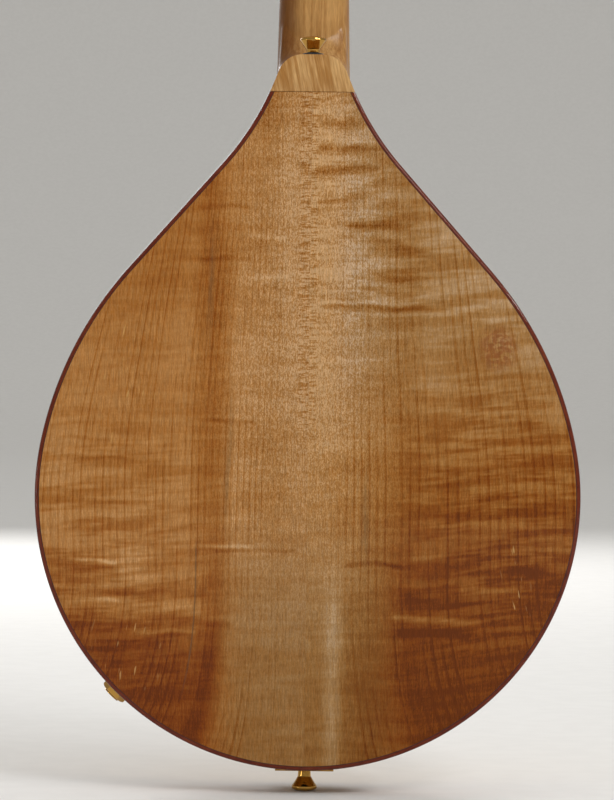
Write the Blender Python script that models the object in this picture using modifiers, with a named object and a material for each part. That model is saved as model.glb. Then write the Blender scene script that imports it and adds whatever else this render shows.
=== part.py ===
"""Teardrop mandolin: arched plates, a floating bridge and geared tuners.

The frame: +Z runs up the neck, the soundboard faces -Y and the treble side is +X.
The origin is the tail end of the rim, on the centreline, midway between the two plates.
"""

import math

import bpy
import bmesh
from mathutils import Vector

# ---------------------------------------------------------------- driving dimensions, in metres
GAP = 0.0003                      # clearance left between touching pieces
NUDGE = 0.001                     # how far a cutter runs past the face that it opens

# Body outline: a round lower bout, a shoulder arc, a straight flank and a hollow flare at the neck
BODY_LENGTH = 0.3335
BOUT_RADIUS = 0.1342
BOUT_END = math.radians(10.87)    # where the bout's arc ends, above the horizontal
SHOULDER_RADIUS = 0.1845
SHOULDER_SWEEP = math.radians(30.45)
FLANK_LENGTH = 0.0685
FLARE_RADIUS = 0.142
ARC_STEP = math.radians(5.5)      # angle between two points of an arc

# Body section
RIM_HALF = 0.023                  # half the depth of the rim
BACK_ARCH = 0.008
TOP_ARCH = 0.007
PLATE_THICKNESS = 0.003
RIB_THICKNESS = 0.0023
BINDING_WIDTH = 0.0024
BINDING_DEPTH = 0.0055
LINING_WIDTH = 0.006
LINING_DEPTH = 0.009
SEAM = 0.0003
PLATE_RINGS = (0.0, 0.35, 0.7, 1.0)   # how far out from the spine the plate's rings lie

SOUNDHOLE_CENTRE_Z = 0.2215
SOUNDHOLE_HALF_WIDTH = 0.033
SOUNDHOLE_HALF_HEIGHT = 0.0225

# Neck, measured from the body joint along the fingerboard
NECK_PITCH = math.radians(4.0)
HEAD_PITCH = math.radians(13.0)
NECK_FACE_Y = -0.0240             # the neck's front face at the body joint
SCALE_LENGTH = 0.3524
NUT_AT = SCALE_LENGTH / 2         # the neck joins the body at the twelfth fret
NUT_THICKNESS = 0.0045
HEAD_AT = NUT_AT + NUT_THICKNESS + 0.0005
NECK_HALF_JOINT = 0.0187
NECK_HALF_NUT = 0.0147
NECK_DEPTH_JOINT = 0.0155
NECK_DEPTH_NUT = 0.0135
BOARD_THICKNESS = 0.006
BOARD_LOW = -0.0735               # the end of the board over the soundboard
FRET_COUNT = 20
FRET_HEIGHT = 0.0010
FRET_WIDTH = 0.0022

# Heel
HEEL_TOP_Z = 0.3520
HEEL_CORNER = 0.0086
HEEL_SLOPE = 0.45                 # how fast the heel narrows going up the neck
HEEL_CAP_THICKNESS = 0.003
HEEL_BUTTON_Y = 0.0125

# Headstock, measured from the nut along its own face
HEAD_LENGTH = 0.128
HEAD_THICKNESS = 0.0125
VENEER_THICKNESS = 0.0015
POST_SPACING = 0.023
FIRST_POST = 0.026
POST_X = 0.0208

# Tuners
GEAR_TEETH = 15
GEAR_RADIUS = 0.0058
GEAR_THICKNESS = 0.003
WORM_RADIUS = 0.0020
SHAFT_RADIUS = 0.0014
POST_RADIUS = 0.0030
WRAP_RADIUS = 0.0037
WRAP_HEIGHT = 0.0068              # the middle of the string's turns above the wood
TUNER_PLATE_THICKNESS = 0.0012
TUNER_PLATE_HALF_WIDTH = 0.0075

# Bridge
BRIDGE_HALF_LENGTH = 0.054
BRIDGE_WIDTH = 0.011
BRIDGE_HOLLOW = 0.0016            # the base's underside is hollowed in the middle
BRIDGE_BASE_TOP = 0.0360          # distance of the base's upper face from the mid plane
STUD_X = 0.036
STUD_RADIUS = 0.0015
WHEEL_RADIUS = 0.0058
WHEEL_THICKNESS = 0.0016
SADDLE_WIDTH = 0.0055
SADDLE_DROP = 0.0012              # how far the saddle can be lowered

# Strings: radius of each course, and the spread at the nut, the saddle and the tailpiece
STRING_RADII = {"g": 0.00051, "d": 0.00033, "a": 0.00020, "e": 0.00015}
COURSE_STEP_NUT = 0.0074
PAIR_STEP_NUT = 0.0020
COURSE_STEP_SADDLE = 0.0125
PAIR_STEP_SADDLE = 0.0027
COURSE_STEP_TAIL = 0.0066
PAIR_STEP_TAIL = 0.0031
ACTION_NUT = 0.0005               # string above the first fret's plane, at the nut
ACTION_JOINT = 0.0018             # string above the twelfth fret
HOOK_Z = 0.052
HOOK_Y = -0.0335

# Tailpiece and fittings
TAILPIECE_HALF_WIDTH = 0.0145
TAILPIECE_THICKNESS = 0.0012
COVER_HALF_WIDTH = 0.0190
COVER_THICKNESS = 0.0008
BUTTON_SHANK = 0.0021
JACK_ANGLE = math.radians(44.0)   # round the rim from the tail, on the treble side
JACK_DEPTH = 0.024
PICKUP_PLACE = (0.018, 0.150)     # x and z of the pickup under the soundboard

# Outlines are drawn flat and turned to face the front, the treble side or the head end
FACE_ON = (math.pi / 2, 0, 0)
SIDE_ON = (math.pi / 2, 0, math.pi / 2)
END_ON = (0, 0, 0)

LOOKS = {
    "maple": ((0.47, 0.25, 0.09), 0.22, 0.0),
    "maple_neck": ((0.50, 0.29, 0.12), 0.25, 0.0),
    "spruce": ((0.66, 0.46, 0.22), 0.25, 0.0),
    "spruce_raw": ((0.62, 0.47, 0.28), 0.75, 0.0),
    "bloodwood": ((0.16, 0.035, 0.015), 0.20, 0.0),
    "mahogany": ((0.28, 0.12, 0.06), 0.70, 0.0),
    "ebony": ((0.012, 0.010, 0.009), 0.35, 0.0),
    "rosewood": ((0.060, 0.025, 0.015), 0.40, 0.0),
    "bone": ((0.78, 0.72, 0.58), 0.35, 0.0),
    "gold": ((0.83, 0.58, 0.20), 0.15, 1.0),
    "brass": ((0.72, 0.50, 0.22), 0.30, 1.0),
    "steel": ((0.60, 0.60, 0.62), 0.25, 1.0),
    "bronze": ((0.62, 0.40, 0.20), 0.35, 1.0),
    "felt": ((0.02, 0.02, 0.02), 0.95, 0.0),
    "rubber": ((0.03, 0.03, 0.03), 0.60, 0.0),
}


# ---------------------------------------------------------------- scene and objects
for existing in list(bpy.data.objects):
    bpy.data.objects.remove(existing, do_unlink=True)

PARTS = bpy.data.collections.new("mandolin")
CUTTERS = bpy.data.collections.new("mandolin_cutters")
for group in (PARTS, CUTTERS):
    bpy.context.scene.collection.children.link(group)


def finish(obj, look):
    """Gives a part its own material; a piece with no look is a cutter."""
    if look is None:
        CUTTERS.objects.link(obj)
        obj.hide_render = True
        obj.display_type = "WIRE"
        return
    PARTS.objects.link(obj)
    colour, roughness, metallic = LOOKS[look]
    material = bpy.data.materials.new(f"{obj.name}_{look}")
    material.use_nodes = True
    shader = material.node_tree.nodes["Principled BSDF"]
    shader.inputs["Base Color"].default_value = (*colour, 1.0)
    shader.inputs["Roughness"].default_value = roughness
    shader.inputs["Metallic"].default_value = metallic
    obj.data.materials.append(material)


def put(obj, look, location, rotation, parent):
    """Places an object in its parent's frame, or in the world, and finishes it."""
    finish(obj, look)
    obj.parent = parent
    obj.location = location
    obj.rotation_euler = rotation
    return obj


def frame(name, location, rotation, parent=None):
    """An empty that carries the pieces set out from it."""
    empty = bpy.data.objects.new(name, None)
    empty.empty_display_size = 0.02
    PARTS.objects.link(empty)
    empty.parent = parent
    empty.location = location
    empty.rotation_euler = rotation
    return empty


def from_bmesh(name, shape, look=None, location=(0, 0, 0), rotation=END_ON, parent=None):
    """Turns a finished bmesh into a placed object."""
    bmesh.ops.recalc_face_normals(shape, faces=shape.faces)
    if shape.calc_volume(signed=True) < 0:
        bmesh.ops.reverse_faces(shape, faces=shape.faces)
    mesh = bpy.data.meshes.new(name)
    shape.to_mesh(mesh)
    shape.free()
    return put(bpy.data.objects.new(name, mesh), look, location, rotation, parent)


def boxes(name, corners, look=None, location=(0, 0, 0), rotation=END_ON, parent=None):
    """One object of plain boxes, each given by its lowest and highest corner."""
    shape = bmesh.new()
    for low, high in corners:
        new = bmesh.ops.create_cube(shape, size=1.0)["verts"]
        low, high = Vector(low), Vector(high)
        bmesh.ops.scale(shape, vec=high - low, verts=new)
        bmesh.ops.translate(shape, vec=(low + high) / 2, verts=new)
    return from_bmesh(name, shape, look, location, rotation, parent)


def rods(name, radius, spans, steps=10, location=(0, 0, 0), rotation=END_ON, parent=None):
    """Cutters: upright cylinders, each given by x, y, its lowest and its highest point."""
    shape = bmesh.new()
    for x, y, low, high in spans:
        new = bmesh.ops.create_cone(
            shape, cap_ends=True, segments=steps, radius1=radius, radius2=radius, depth=high - low
        )["verts"]
        bmesh.ops.translate(shape, vec=(x, y, (low + high) / 2), verts=new)
    return from_bmesh(name, shape, None, location, rotation, parent)


def slab(name, outline, depth, look=None, location=(0, 0, 0), rotation=FACE_ON, parent=None):
    """A flat outline given a thickness, half of it on each side of its plane."""
    curve = bpy.data.curves.new(name, "CURVE")
    curve.dimensions = "2D"
    curve.fill_mode = "BOTH"
    curve.extrude = depth / 2
    spline = curve.splines.new("POLY")
    spline.points.add(len(outline) - 1)
    for point, (u, v) in zip(spline.points, outline):
        point.co = (u, v, 0, 1)
    spline.use_cyclic_u = True
    return as_mesh(name, curve, look, location, rotation, parent)


def wire(name, points, radius, look, parent=None, resolution=1):
    """A round wire through the points, closed at both ends."""
    curve = bpy.data.curves.new(name, "CURVE")
    curve.dimensions = "3D"
    curve.bevel_depth = radius
    curve.bevel_resolution = resolution
    curve.use_fill_caps = True
    spline = curve.splines.new("POLY")
    spline.points.add(len(points) - 1)
    for point, place in zip(spline.points, points):
        point.co = (*place, 1)
    return as_mesh(name, curve, look, (0, 0, 0), END_ON, parent)


def as_mesh(name, curve, look, location, rotation, parent):
    """The curve as a welded mesh object."""
    guide = bpy.data.objects.new(name + "_curve", curve)
    CUTTERS.objects.link(guide)
    evaluated = guide.evaluated_get(bpy.context.evaluated_depsgraph_get())
    mesh = bpy.data.meshes.new_from_object(evaluated)
    shape = bmesh.new()
    shape.from_mesh(mesh)
    bmesh.ops.remove_doubles(shape, verts=shape.verts, dist=0.00001)
    bpy.data.objects.remove(guide, do_unlink=True)
    bpy.data.curves.remove(curve)
    return from_bmesh(name, shape, look, location, rotation, parent)


def turned(name, profile, look=None, location=(0, 0, 0), rotation=END_ON, parent=None, steps=16,
           closed=False):
    """A turned piece; its profile is (radius, height) from the top down the outer side.

    A closed profile makes a ring.
    """
    mesh = bpy.data.meshes.new(name)
    edges = [(i, i + 1) for i in range(len(profile) - 1)]
    if closed:
        edges.append((len(profile) - 1, 0))
    mesh.from_pydata([(radius, 0, height) for radius, height in profile], edges, [])
    obj = put(bpy.data.objects.new(name, mesh), look, location, rotation, parent)
    screw = obj.modifiers.new("turn", "SCREW")
    screw.steps = screw.render_steps = steps
    screw.use_merge_vertices = True
    screw.merge_threshold = 0.00001
    screw.use_smooth_shade = True
    return obj


def combine(obj, other, operation="DIFFERENCE"):
    """Cuts the other piece from the object, or joins it on."""
    step = obj.modifiers.new(other.name, "BOOLEAN")
    step.operation = operation
    step.solver = "EXACT"
    step.object = other
    return obj


def smooth(obj, angle=40):
    obj.data.shade_smooth()
    obj.data.set_sharp_from_angle(angle=math.radians(angle))
    return obj


def mix(a, b, share):
    return a + (b - a) * share


# ---------------------------------------------------------------- body geometry
def unit(angle):
    return Vector((math.cos(angle), math.sin(angle)))


SHOULDER_END = BOUT_END + SHOULDER_SWEEP
BOUT_CENTRE = Vector((0, BOUT_RADIUS))
SHOULDER_CENTRE = BOUT_CENTRE + (BOUT_RADIUS - SHOULDER_RADIUS) * unit(BOUT_END)
FLANK_START = SHOULDER_CENTRE + SHOULDER_RADIUS * unit(SHOULDER_END)
FLANK_END = FLANK_START + FLANK_LENGTH * unit(SHOULDER_END + math.pi / 2)
FLARE_CENTRE = FLANK_END + FLARE_RADIUS * unit(SHOULDER_END)


def arc(centre, radius, start, end):
    """Points of an arc, its two ends included."""
    count = max(1, round(abs(end - start) / ARC_STEP))
    return [centre + radius * unit(mix(start, end, i / count)) for i in range(count + 1)]


def half_outline(inset, top, tail_half=0.0):
    """Treble half of the body outline moved inward by inset, from the tail up to the height top.

    It starts at the half width tail_half, or on the centreline.
    """
    start = -math.pi / 2 + math.asin(tail_half / (BOUT_RADIUS - inset))
    points = arc(BOUT_CENTRE, BOUT_RADIUS - inset, start, BOUT_END)
    points += arc(SHOULDER_CENTRE, SHOULDER_RADIUS - inset, BOUT_END, SHOULDER_END)[1:]
    if top < FLANK_END.y - inset:
        rise = top - points[-1].y
        return points + [points[-1] + Vector((-rise * math.tan(SHOULDER_END), rise))]
    radius = FLARE_RADIUS + inset
    last = math.asin((FLARE_CENTRE.y - top) / radius)
    points += arc(FLARE_CENTRE, -radius, SHOULDER_END, last)
    return points


def mirrored(points):
    return [Vector((-p.x, p.y)) for p in points]


def both_sides(points):
    """The whole path, from the bass end round the tail to the treble end."""
    return mirrored(points)[:0:-1] + points


def half_width(z):
    """Half the body's width at height z."""
    if z < BOUT_CENTRE.y + BOUT_RADIUS * math.sin(BOUT_END):
        return math.sqrt(max(0.0, BOUT_RADIUS**2 - (z - BOUT_CENTRE.y) ** 2))
    if z < FLANK_START.y:
        return SHOULDER_CENTRE.x + math.sqrt(SHOULDER_RADIUS**2 - (z - SHOULDER_CENTRE.y) ** 2)
    if z < FLANK_END.y:
        return FLANK_START.x - (z - FLANK_START.y) * math.tan(SHOULDER_END)
    return FLARE_CENTRE.x - math.sqrt(FLARE_RADIUS**2 - (FLARE_CENTRE.y - z) ** 2)


def arch_height(arch, x, z):
    """How far an arched plate's outer face stands above its rim at x, z."""
    if z < BOUT_RADIUS:
        return arch * (1 - (x**2 + (z - BOUT_RADIUS) ** 2) / BOUT_RADIUS**2)
    ridge = arch * (1 - ((z - BOUT_RADIUS) / (BODY_LENGTH - BOUT_RADIUS)) ** 2)
    return ridge * (1 - (x / half_width(z)) ** 2)


def under_plate(arch, x, z):
    """Distance from the mid plane to a safe face just inside the plate."""
    return RIM_HALF + arch_height(arch, x, z) - PLATE_THICKNESS - 2 * GAP


# ---------------------------------------------------------------- body
def rib_band(name, inset, thickness, top, y_low, y_high, look, tail_half=None):
    """A band bent along the outline: the whole way round, or its treble half past tail_half."""
    if tail_half is None:
        outer = both_sides(half_outline(inset, top))
        inner = both_sides(half_outline(inset + thickness, top))
    else:
        outer = half_outline(inset, top, tail_half)
        inner = half_outline(inset + thickness, top, tail_half)
    place = (0, (y_low + y_high) / 2, 0)
    return smooth(slab(name, outer + inner[::-1], y_high - y_low, look, place))


def half_plate(name, side, facing, arch, look):
    """Half of an arched plate: rings run from the spine out to the edge inside the binding."""
    edge = half_outline(BINDING_WIDTH + GAP, BODY_LENGTH - GAP)
    shape = bmesh.new()
    columns = []
    for rim in edge:
        spine_z = max(rim.y, BOUT_RADIUS)
        column = []
        for out in PLATE_RINGS:
            x = max(rim.x * out, SEAM / 2)
            z = mix(spine_z, rim.y, out)
            y = facing * (RIM_HALF + arch_height(arch, x, z))
            column.append(shape.verts.new((side * x, y, z)))
        columns.append(column)
    for left, right in zip(columns, columns[1:]):
        for i in range(len(PLATE_RINGS) - 1):
            face = (left[i], left[i + 1], right[i + 1], right[i])
            shape.faces.new(face if side * facing < 0 else face[::-1])
    bmesh.ops.remove_doubles(shape, verts=shape.verts, dist=0.00001)
    mesh = bpy.data.meshes.new(name)
    shape.to_mesh(mesh)
    shape.free()
    plate = put(bpy.data.objects.new(name, mesh), look, (0, 0, 0), END_ON, None)
    solid = plate.modifiers.new("thickness", "SOLIDIFY")
    solid.thickness = PLATE_THICKNESS
    solid.offset = -1
    return smooth(plate)


def oval(half_x, half_z, count=28):
    return [
        (half_x * math.cos(turn), half_z * math.sin(turn))
        for turn in (2 * math.pi * i / count for i in range(count))
    ]


def brace_across(name, arch, facing, z, half, height, width=0.007, look=None):
    """A bar across the body, its glued edge following the arch and its ends cut down."""
    xs = [half * i / 4 for i in range(-4, 5)]
    glued = [(x, min(under_plate(arch, x, z + s * width / 2) for s in (-1, 1))) for x in xs]
    free = [(half, glued[-1][1] - 0.002), (half * 0.72, glued[-1][1] - height)]
    outline = glued + free + [(-x, y) for x, y in free[::-1]]
    outline = [(x, facing * y) for x, y in outline]
    return slab(name, outline, width, look, (0, 0, z), END_ON)


def bar_along(name, arch, facing, x, z_low, z_high, height, width, look=None):
    """A bar or strip running along the body at x."""
    zs = [mix(z_low, z_high, i / 8) for i in range(9)]
    glued = [(min(under_plate(arch, abs(x) + s * width / 2, z) for s in (-1, 1)), z) for z in zs]
    free = [(y - height, z) for y, z in glued[::-1]]
    outline = [(facing * y, z) for y, z in glued + free]
    return slab(name, outline, width, look, (x, 0, 0), SIDE_ON)


def make_body():
    inner = BINDING_WIDTH + GAP
    lining_high = RIM_HALF - PLATE_THICKNESS - 2 * GAP
    lining_top = BODY_LENGTH - 0.050
    for facing, word in ((1, "back"), (-1, "top")):
        ends = sorted((facing * (RIM_HALF - BINDING_DEPTH), facing * RIM_HALF))
        rib_band(word + "_binding", 0, BINDING_WIDTH, BODY_LENGTH - GAP, *ends, "bloodwood")
        ends = sorted((facing * (lining_high - LINING_DEPTH), facing * lining_high))
        rib_band(word + "_lining", inner, LINING_WIDTH, lining_top, *ends, "mahogany")

    rib_half = RIM_HALF - BINDING_DEPTH - GAP
    graft_half = 0.006
    for side, word in ((-1, "bass"), (1, "treble")):
        rib = rib_band("side_" + word, 0, RIB_THICKNESS, BODY_LENGTH - GAP, -rib_half, rib_half,
                       "maple", graft_half + GAP)
        if side < 0:
            for vertex in rib.data.vertices:
                vertex.co.x *= -1
            rib.data.flip_normals()
        else:
            drill = rods("jack_hole", 0.0048, [(0, 0, -0.01, 0.01)],
                         location=jack_point(0), rotation=jack_turn())
            combine(rib, drill)
    graft = both_sides(half_outline(0, BODY_LENGTH)[:1] + [graft_point(0, graft_half)])
    graft += both_sides(
        [Vector((0, RIB_THICKNESS)), graft_point(RIB_THICKNESS, graft_half)]
    )[::-1]
    tail = slab("tail_graft", graft, 2 * rib_half, "bloodwood")
    shank_hole = rods("end_button_hole", BUTTON_SHANK + GAP, [(0, 0, -0.02, 0.017)])
    combine(tail, shank_hole)

    for side, word in ((-1, "bass"), (1, "treble")):
        half_plate("back_" + word, side, 1, BACK_ARCH, "maple")
        top = half_plate("top_" + word, side, -1, TOP_ARCH, "spruce")
        hole = slab("soundhole_" + word, oval(SOUNDHOLE_HALF_WIDTH, SOUNDHOLE_HALF_HEIGHT), 0.04,
                    None, (0, -RIM_HALF, SOUNDHOLE_CENTRE_Z))
        combine(top, hole)

    make_blocks(inner, lining_high, lining_top, shank_hole)
    make_braces()


def graft_point(inset, half):
    """The point of the outline moved inward by inset, at the half width half beside the tail."""
    radius = BOUT_RADIUS - inset
    return Vector((half, BOUT_RADIUS - math.sqrt(radius**2 - half**2)))


def make_blocks(inner, lining_high, lining_top, shank_hole):
    """The neck block with its mortise and the tail block between the linings."""
    outline = half_outline(inner + GAP, BODY_LENGTH - GAP)
    low = lining_top + 2 * GAP
    wide = half_width(low) - (inner + 2 * GAP) / math.cos(SHOULDER_END)
    upper = [p for p in outline if p.y > low + 0.002]
    neck_block = slab("neck_block", [(-wide, low), (wide, low)] + [tuple(p) for p in upper]
                      + [tuple(p) for p in mirrored(upper)[::-1]], 2 * (lining_high - GAP), "mahogany")
    mortise = boxes("mortise", [((-0.0093, -0.0200, 0.3130), (0.0093, 0.0160, BODY_LENGTH + NUDGE))])
    combine(neck_block, mortise)

    tail_half = 0.030
    depth = 0.018
    front = [graft_point(inner, tail_half * i / 4) for i in range(5)]
    behind = [graft_point(inner + LINING_WIDTH + GAP, tail_half * i / 4) for i in range(5)]
    back_edge = [Vector((tail_half, inner + depth)), Vector((0, inner + depth))]
    narrow = 2 * (lining_high - LINING_DEPTH - GAP)
    tail_block = slab("tail_block", both_sides(front + back_edge[:1]), narrow, "mahogany")
    wings = slab("tail_block_wings", both_sides(behind + back_edge[:1]), 2 * (lining_high - GAP))
    combine(tail_block, wings, "UNION")
    combine(tail_block, shank_hole)


def make_braces():
    """Ladder braces with a seam strip under the back, and a cross ladder under the soundboard."""
    strip = bar_along("back_bracing", BACK_ARCH, 1, 0, 0.030, 0.278, 0.0022, 0.016, "spruce_raw")
    for number, (z, half) in enumerate(((0.075, 0.096), (0.160, 0.112), (0.240, 0.078))):
        rung = brace_across(f"back_rung_{number}", BACK_ARCH, 1, z, half, 0.011)
        combine(strip, rung, "UNION")
    across = brace_across("top_bracing", TOP_ARCH, -1, 0.1880, 0.108, 0.011, look="spruce_raw")
    upper = brace_across("top_rung", TOP_ARCH, -1, 0.2560, 0.066, 0.010)
    combine(across, upper, "UNION")
    for side in (-1, 1):
        bar = bar_along(f"tone_bar_{side}", TOP_ARCH, -1, side * 0.041, 0.045, 0.262, 0.008, 0.006)
        combine(across, bar, "UNION")


# ---------------------------------------------------------------- neck
def board_half(along):
    """Half the neck's width at a distance along it from the body joint."""
    return mix(NECK_HALF_JOINT, NECK_HALF_NUT, along / NUT_AT)


def heel_outline(top_z, corner, slope, base):
    """Half outline of the heel: a sloping flank and a round corner up to a short flat end."""
    lean = math.atan(slope)
    low = BODY_LENGTH + GAP
    centre_z = top_z - corner
    flank_x = base - slope * (centre_z + corner * math.sin(lean) - low)
    centre_x = flank_x - corner * math.cos(lean)
    points = [Vector((base, low))]
    for i in range(6):
        points.append(Vector((centre_x, centre_z)) + corner * unit(mix(lean, math.pi / 2, i / 5)))
    return points


def loft(name, sections, look=None, parent=None):
    """A closed skin through rings of points that match one to one."""
    shape = bmesh.new()
    rings = [[shape.verts.new(point) for point in ring] for ring in sections]
    count = len(rings[0])
    for one, two in zip(rings, rings[1:]):
        for i in range(count):
            j = (i + 1) % count
            shape.faces.new((one[i], one[j], two[j], two[i]))
    shape.faces.new(rings[0][::-1])
    shape.faces.new(rings[-1])
    return smooth(from_bmesh(name, shape, look, parent=parent))


def heel_loft():
    """The heel, from the face under the cap forward into the neck's shaft."""
    base = half_width(BODY_LENGTH) - 0.0001
    slices = (
        (RIM_HALF - HEEL_CAP_THICKNESS - GAP, HEEL_TOP_Z, HEEL_CORNER, HEEL_SLOPE, base),
        (0.0080, HEEL_TOP_Z + 0.0001, HEEL_CORNER, HEEL_SLOPE, base),
        (0.0010, HEEL_TOP_Z + 0.0010, 0.0095, 0.40, base - 0.0002),
        (-0.0030, HEEL_TOP_Z + 0.0035, 0.0110, 0.33, base - 0.0004),
        (-0.0060, HEEL_TOP_Z + 0.0080, 0.0125, 0.25, base - 0.0008),
        (-0.0085, HEEL_TOP_Z + 0.0150, 0.0130, 0.16, base - 0.0014),
        (-0.0120, HEEL_TOP_Z + 0.0270, 0.0130, 0.08, base - 0.0022),
        (-0.0170, HEEL_TOP_Z + 0.0300, 0.0120, 0.05, base - 0.0030),
    )
    sections = []
    for y, *shape in slices:
        half = heel_outline(*shape)
        sections.append([(p.x, y, p.y) for p in half + mirrored(half)[::-1]])
    return loft("neck", sections, "maple_neck")


def neck_section(half, depth, lift=0.0):
    """Half-round section of the shaft, flat on its front face."""
    points = []
    for i in range(11):
        turn = math.pi * i / 10
        x = half * math.copysign(abs(math.cos(turn)) ** 0.85, math.cos(turn))
        points.append(Vector((x, lift + depth * math.sin(turn) ** 0.9, 0)))
    return points


def make_neck(neck_frame, head_frame):
    neck = heel_loft()
    head_matrix = head_frame.matrix_basis
    sections = []
    for along in (-0.004, 0.06, 0.12, NUT_AT, HEAD_AT):
        depth = mix(NECK_DEPTH_JOINT, NECK_DEPTH_NUT, along / NUT_AT)
        sections.append([p + Vector((0, 0, along)) for p in neck_section(board_half(along), depth)])
    for along, depth in ((0.004, 0.0132), (0.014, 0.0118)):
        ring = neck_section(0.0152, depth, GAP / 2)
        sections.append([head_matrix @ (p + Vector((0, 0, along))) for p in ring])
    shaft = loft("neck_shaft", sections, parent=neck_frame)
    below = boxes("neck_foot", [((-0.05, -0.06, 0.30), (0.05, 0.03, BODY_LENGTH + GAP))])
    combine(shaft, below)
    combine(neck, shaft, "UNION")

    head = slab("neck_head", head_outline(0), HEAD_THICKNESS, None,
                (0, HEAD_THICKNESS / 2, 0), FACE_ON, head_frame)
    combine(neck, head, "UNION")
    tenon = boxes("neck_tenon", [((-0.0090, -0.0188, 0.3135), (0.0090, 0.0155, BODY_LENGTH + NUDGE))])
    combine(neck, tenon, "UNION")

    screw_hole = rods("heel_button_hole", 0.0018,
                      [(0, HEEL_BUTTON_Y, HEEL_TOP_Z - 0.014, HEEL_TOP_Z + 0.01)])
    combine(neck, screw_hole)
    channel = boxes("truss_channel", [((-0.0033, -NUDGE, 0.010), (0.0033, 0.0082, HEAD_AT + 0.021))],
                    parent=neck_frame)
    combine(neck, channel)
    posts = rods("post_holes", POST_RADIUS + GAP, [(side * POST_X, z, -0.02, 0.01)
                 for side in (-1, 1) for z in post_heights()], rotation=FACE_ON, parent=head_frame)
    combine(neck, posts)

    cap_half = heel_outline(HEEL_TOP_Z, HEEL_CORNER, HEEL_SLOPE, half_width(BODY_LENGTH) - 0.0001)
    slab("heel_cap", [tuple(p) for p in cap_half + mirrored(cap_half)[::-1]], HEEL_CAP_THICKNESS,
         "maple_neck", (0, RIM_HALF - HEEL_CAP_THICKNESS / 2, 0))

    rod = [(0.0, HEAD_AT + 0.0155), (0.0028, HEAD_AT + 0.0155), (0.0028, HEAD_AT + 0.008),
           (0.0022, HEAD_AT + 0.0075), (0.0022, 0.0125), (0.0, 0.0125)]
    turned("truss_rod", rod, "steel", (0, 0.0045, 0), END_ON, neck_frame, steps=12)
    return posts


def post_heights():
    return [FIRST_POST + POST_SPACING * number for number in range(4)]


def head_outline(inset):
    """Headstock outline: a quick flare above the nut, tapering sides and a shallow crown."""
    half = [
        (0.0152, 0.0003), (0.0162, 0.004), (0.0195, 0.0095), (0.0250, 0.0135), (0.0300, 0.0165),
        (0.0318, 0.0205), (0.0300, 0.060), (0.0285, 0.104), (0.0290, 0.116), (0.0262, 0.1195),
        (0.0195, 0.1200), (0.0110, 0.1240), (0.0, HEAD_LENGTH),
    ]
    half = [Vector((max(x - inset, 0.0), z)) for x, z in half]
    return half + mirrored(half)[-2::-1]


def make_board(neck_frame, head_frame, posts):
    """Fingerboard with its frets, the nut, the headstock veneer and the truss rod's cover."""
    end = NUT_AT - GAP
    outline = [(board_half(BOARD_LOW), BOARD_LOW), (board_half(end), end)]
    outline += [(-x, z) for x, z in outline[::-1]]
    board_y = -GAP - BOARD_THICKNESS / 2
    board = slab("fingerboard", outline, BOARD_THICKNESS, "ebony", (0, board_y, 0), FACE_ON, neck_frame)
    face = -GAP - BOARD_THICKNESS
    bars = []
    for number in range(1, FRET_COUNT + 1):
        z = NUT_AT - SCALE_LENGTH * (1 - 2 ** (-number / 12))
        half = board_half(z) - 0.0004
        low = (-half, face - FRET_HEIGHT, z - FRET_WIDTH / 2)
        bars.append((low, (half, face + 0.0004, z + FRET_WIDTH / 2)))
    combine(board, boxes("frets", bars, parent=neck_frame), "UNION")

    top = string_rest(NUT_AT) + GAP
    nut_half = board_half(NUT_AT) - 0.0002
    far = NUT_AT + NUT_THICKNESS
    outline = [(-GAP, NUT_AT), (-GAP, far), (top + 0.0012, far), (top, far - NUT_THICKNESS / 2),
               (top, NUT_AT)]
    slab("nut", outline, 2 * nut_half, "bone", rotation=SIDE_ON, parent=neck_frame)

    veneer_y = -GAP - VENEER_THICKNESS / 2
    outline = [(x, max(z, 0.0012)) for x, z in head_outline(0)]
    veneer = slab("headstock_veneer", outline, VENEER_THICKNESS, "rosewood", (0, veneer_y, 0),
                  FACE_ON, head_frame)
    combine(veneer, posts)
    window = boxes("truss_window", [((-0.0036, -0.005, -0.002), (0.0036, 0.002, 0.0200))],
                   parent=head_frame)
    combine(veneer, window)
    cover = [(0.0055, 0.003), (0.0068, 0.010), (0.0062, 0.019), (0.0035, 0.0245), (0.0, 0.0265)]
    cover += [(-x, z) for x, z in cover[-2::-1]]
    cover_y = -2 * GAP - VENEER_THICKNESS - 0.0006
    slab("truss_rod_cover", cover, 0.0012, "ebony", (0, cover_y, 0), FACE_ON, head_frame)


# ---------------------------------------------------------------- tuners
def gear_outline():
    """A toothed disc with a hooked tooth for each turn of the worm."""
    root = GEAR_RADIUS - 0.0009
    points = []
    for tooth in range(GEAR_TEETH):
        for share, radius in ((-0.25, root), (0.25, GEAR_RADIUS)):
            turn = 2 * math.pi * (tooth + share) / GEAR_TEETH
            points.append((radius * math.cos(turn), radius * math.sin(turn)))
    return points


def make_tuners(head_frame):
    """Four geared tuners on a plate at each side of the headstock's back."""
    plate_face = HEAD_THICKNESS + GAP
    gear_y = plate_face + TUNER_PLATE_THICKNESS + GAP + WORM_RADIUS
    worm_drop = GEAR_RADIUS + WORM_RADIUS + GAP
    heights = post_heights()
    for side, word in ((-1, "bass"), (1, "treble")):
        make_tuner_plate(head_frame, side, word, heights, plate_face, gear_y, worm_drop)
    number = 0
    for side in (-1, 1):
        for z in heights:
            number += 1
            make_post(head_frame, number, side, z, gear_y)
            make_button(head_frame, number, side, z - worm_drop, gear_y)


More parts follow.
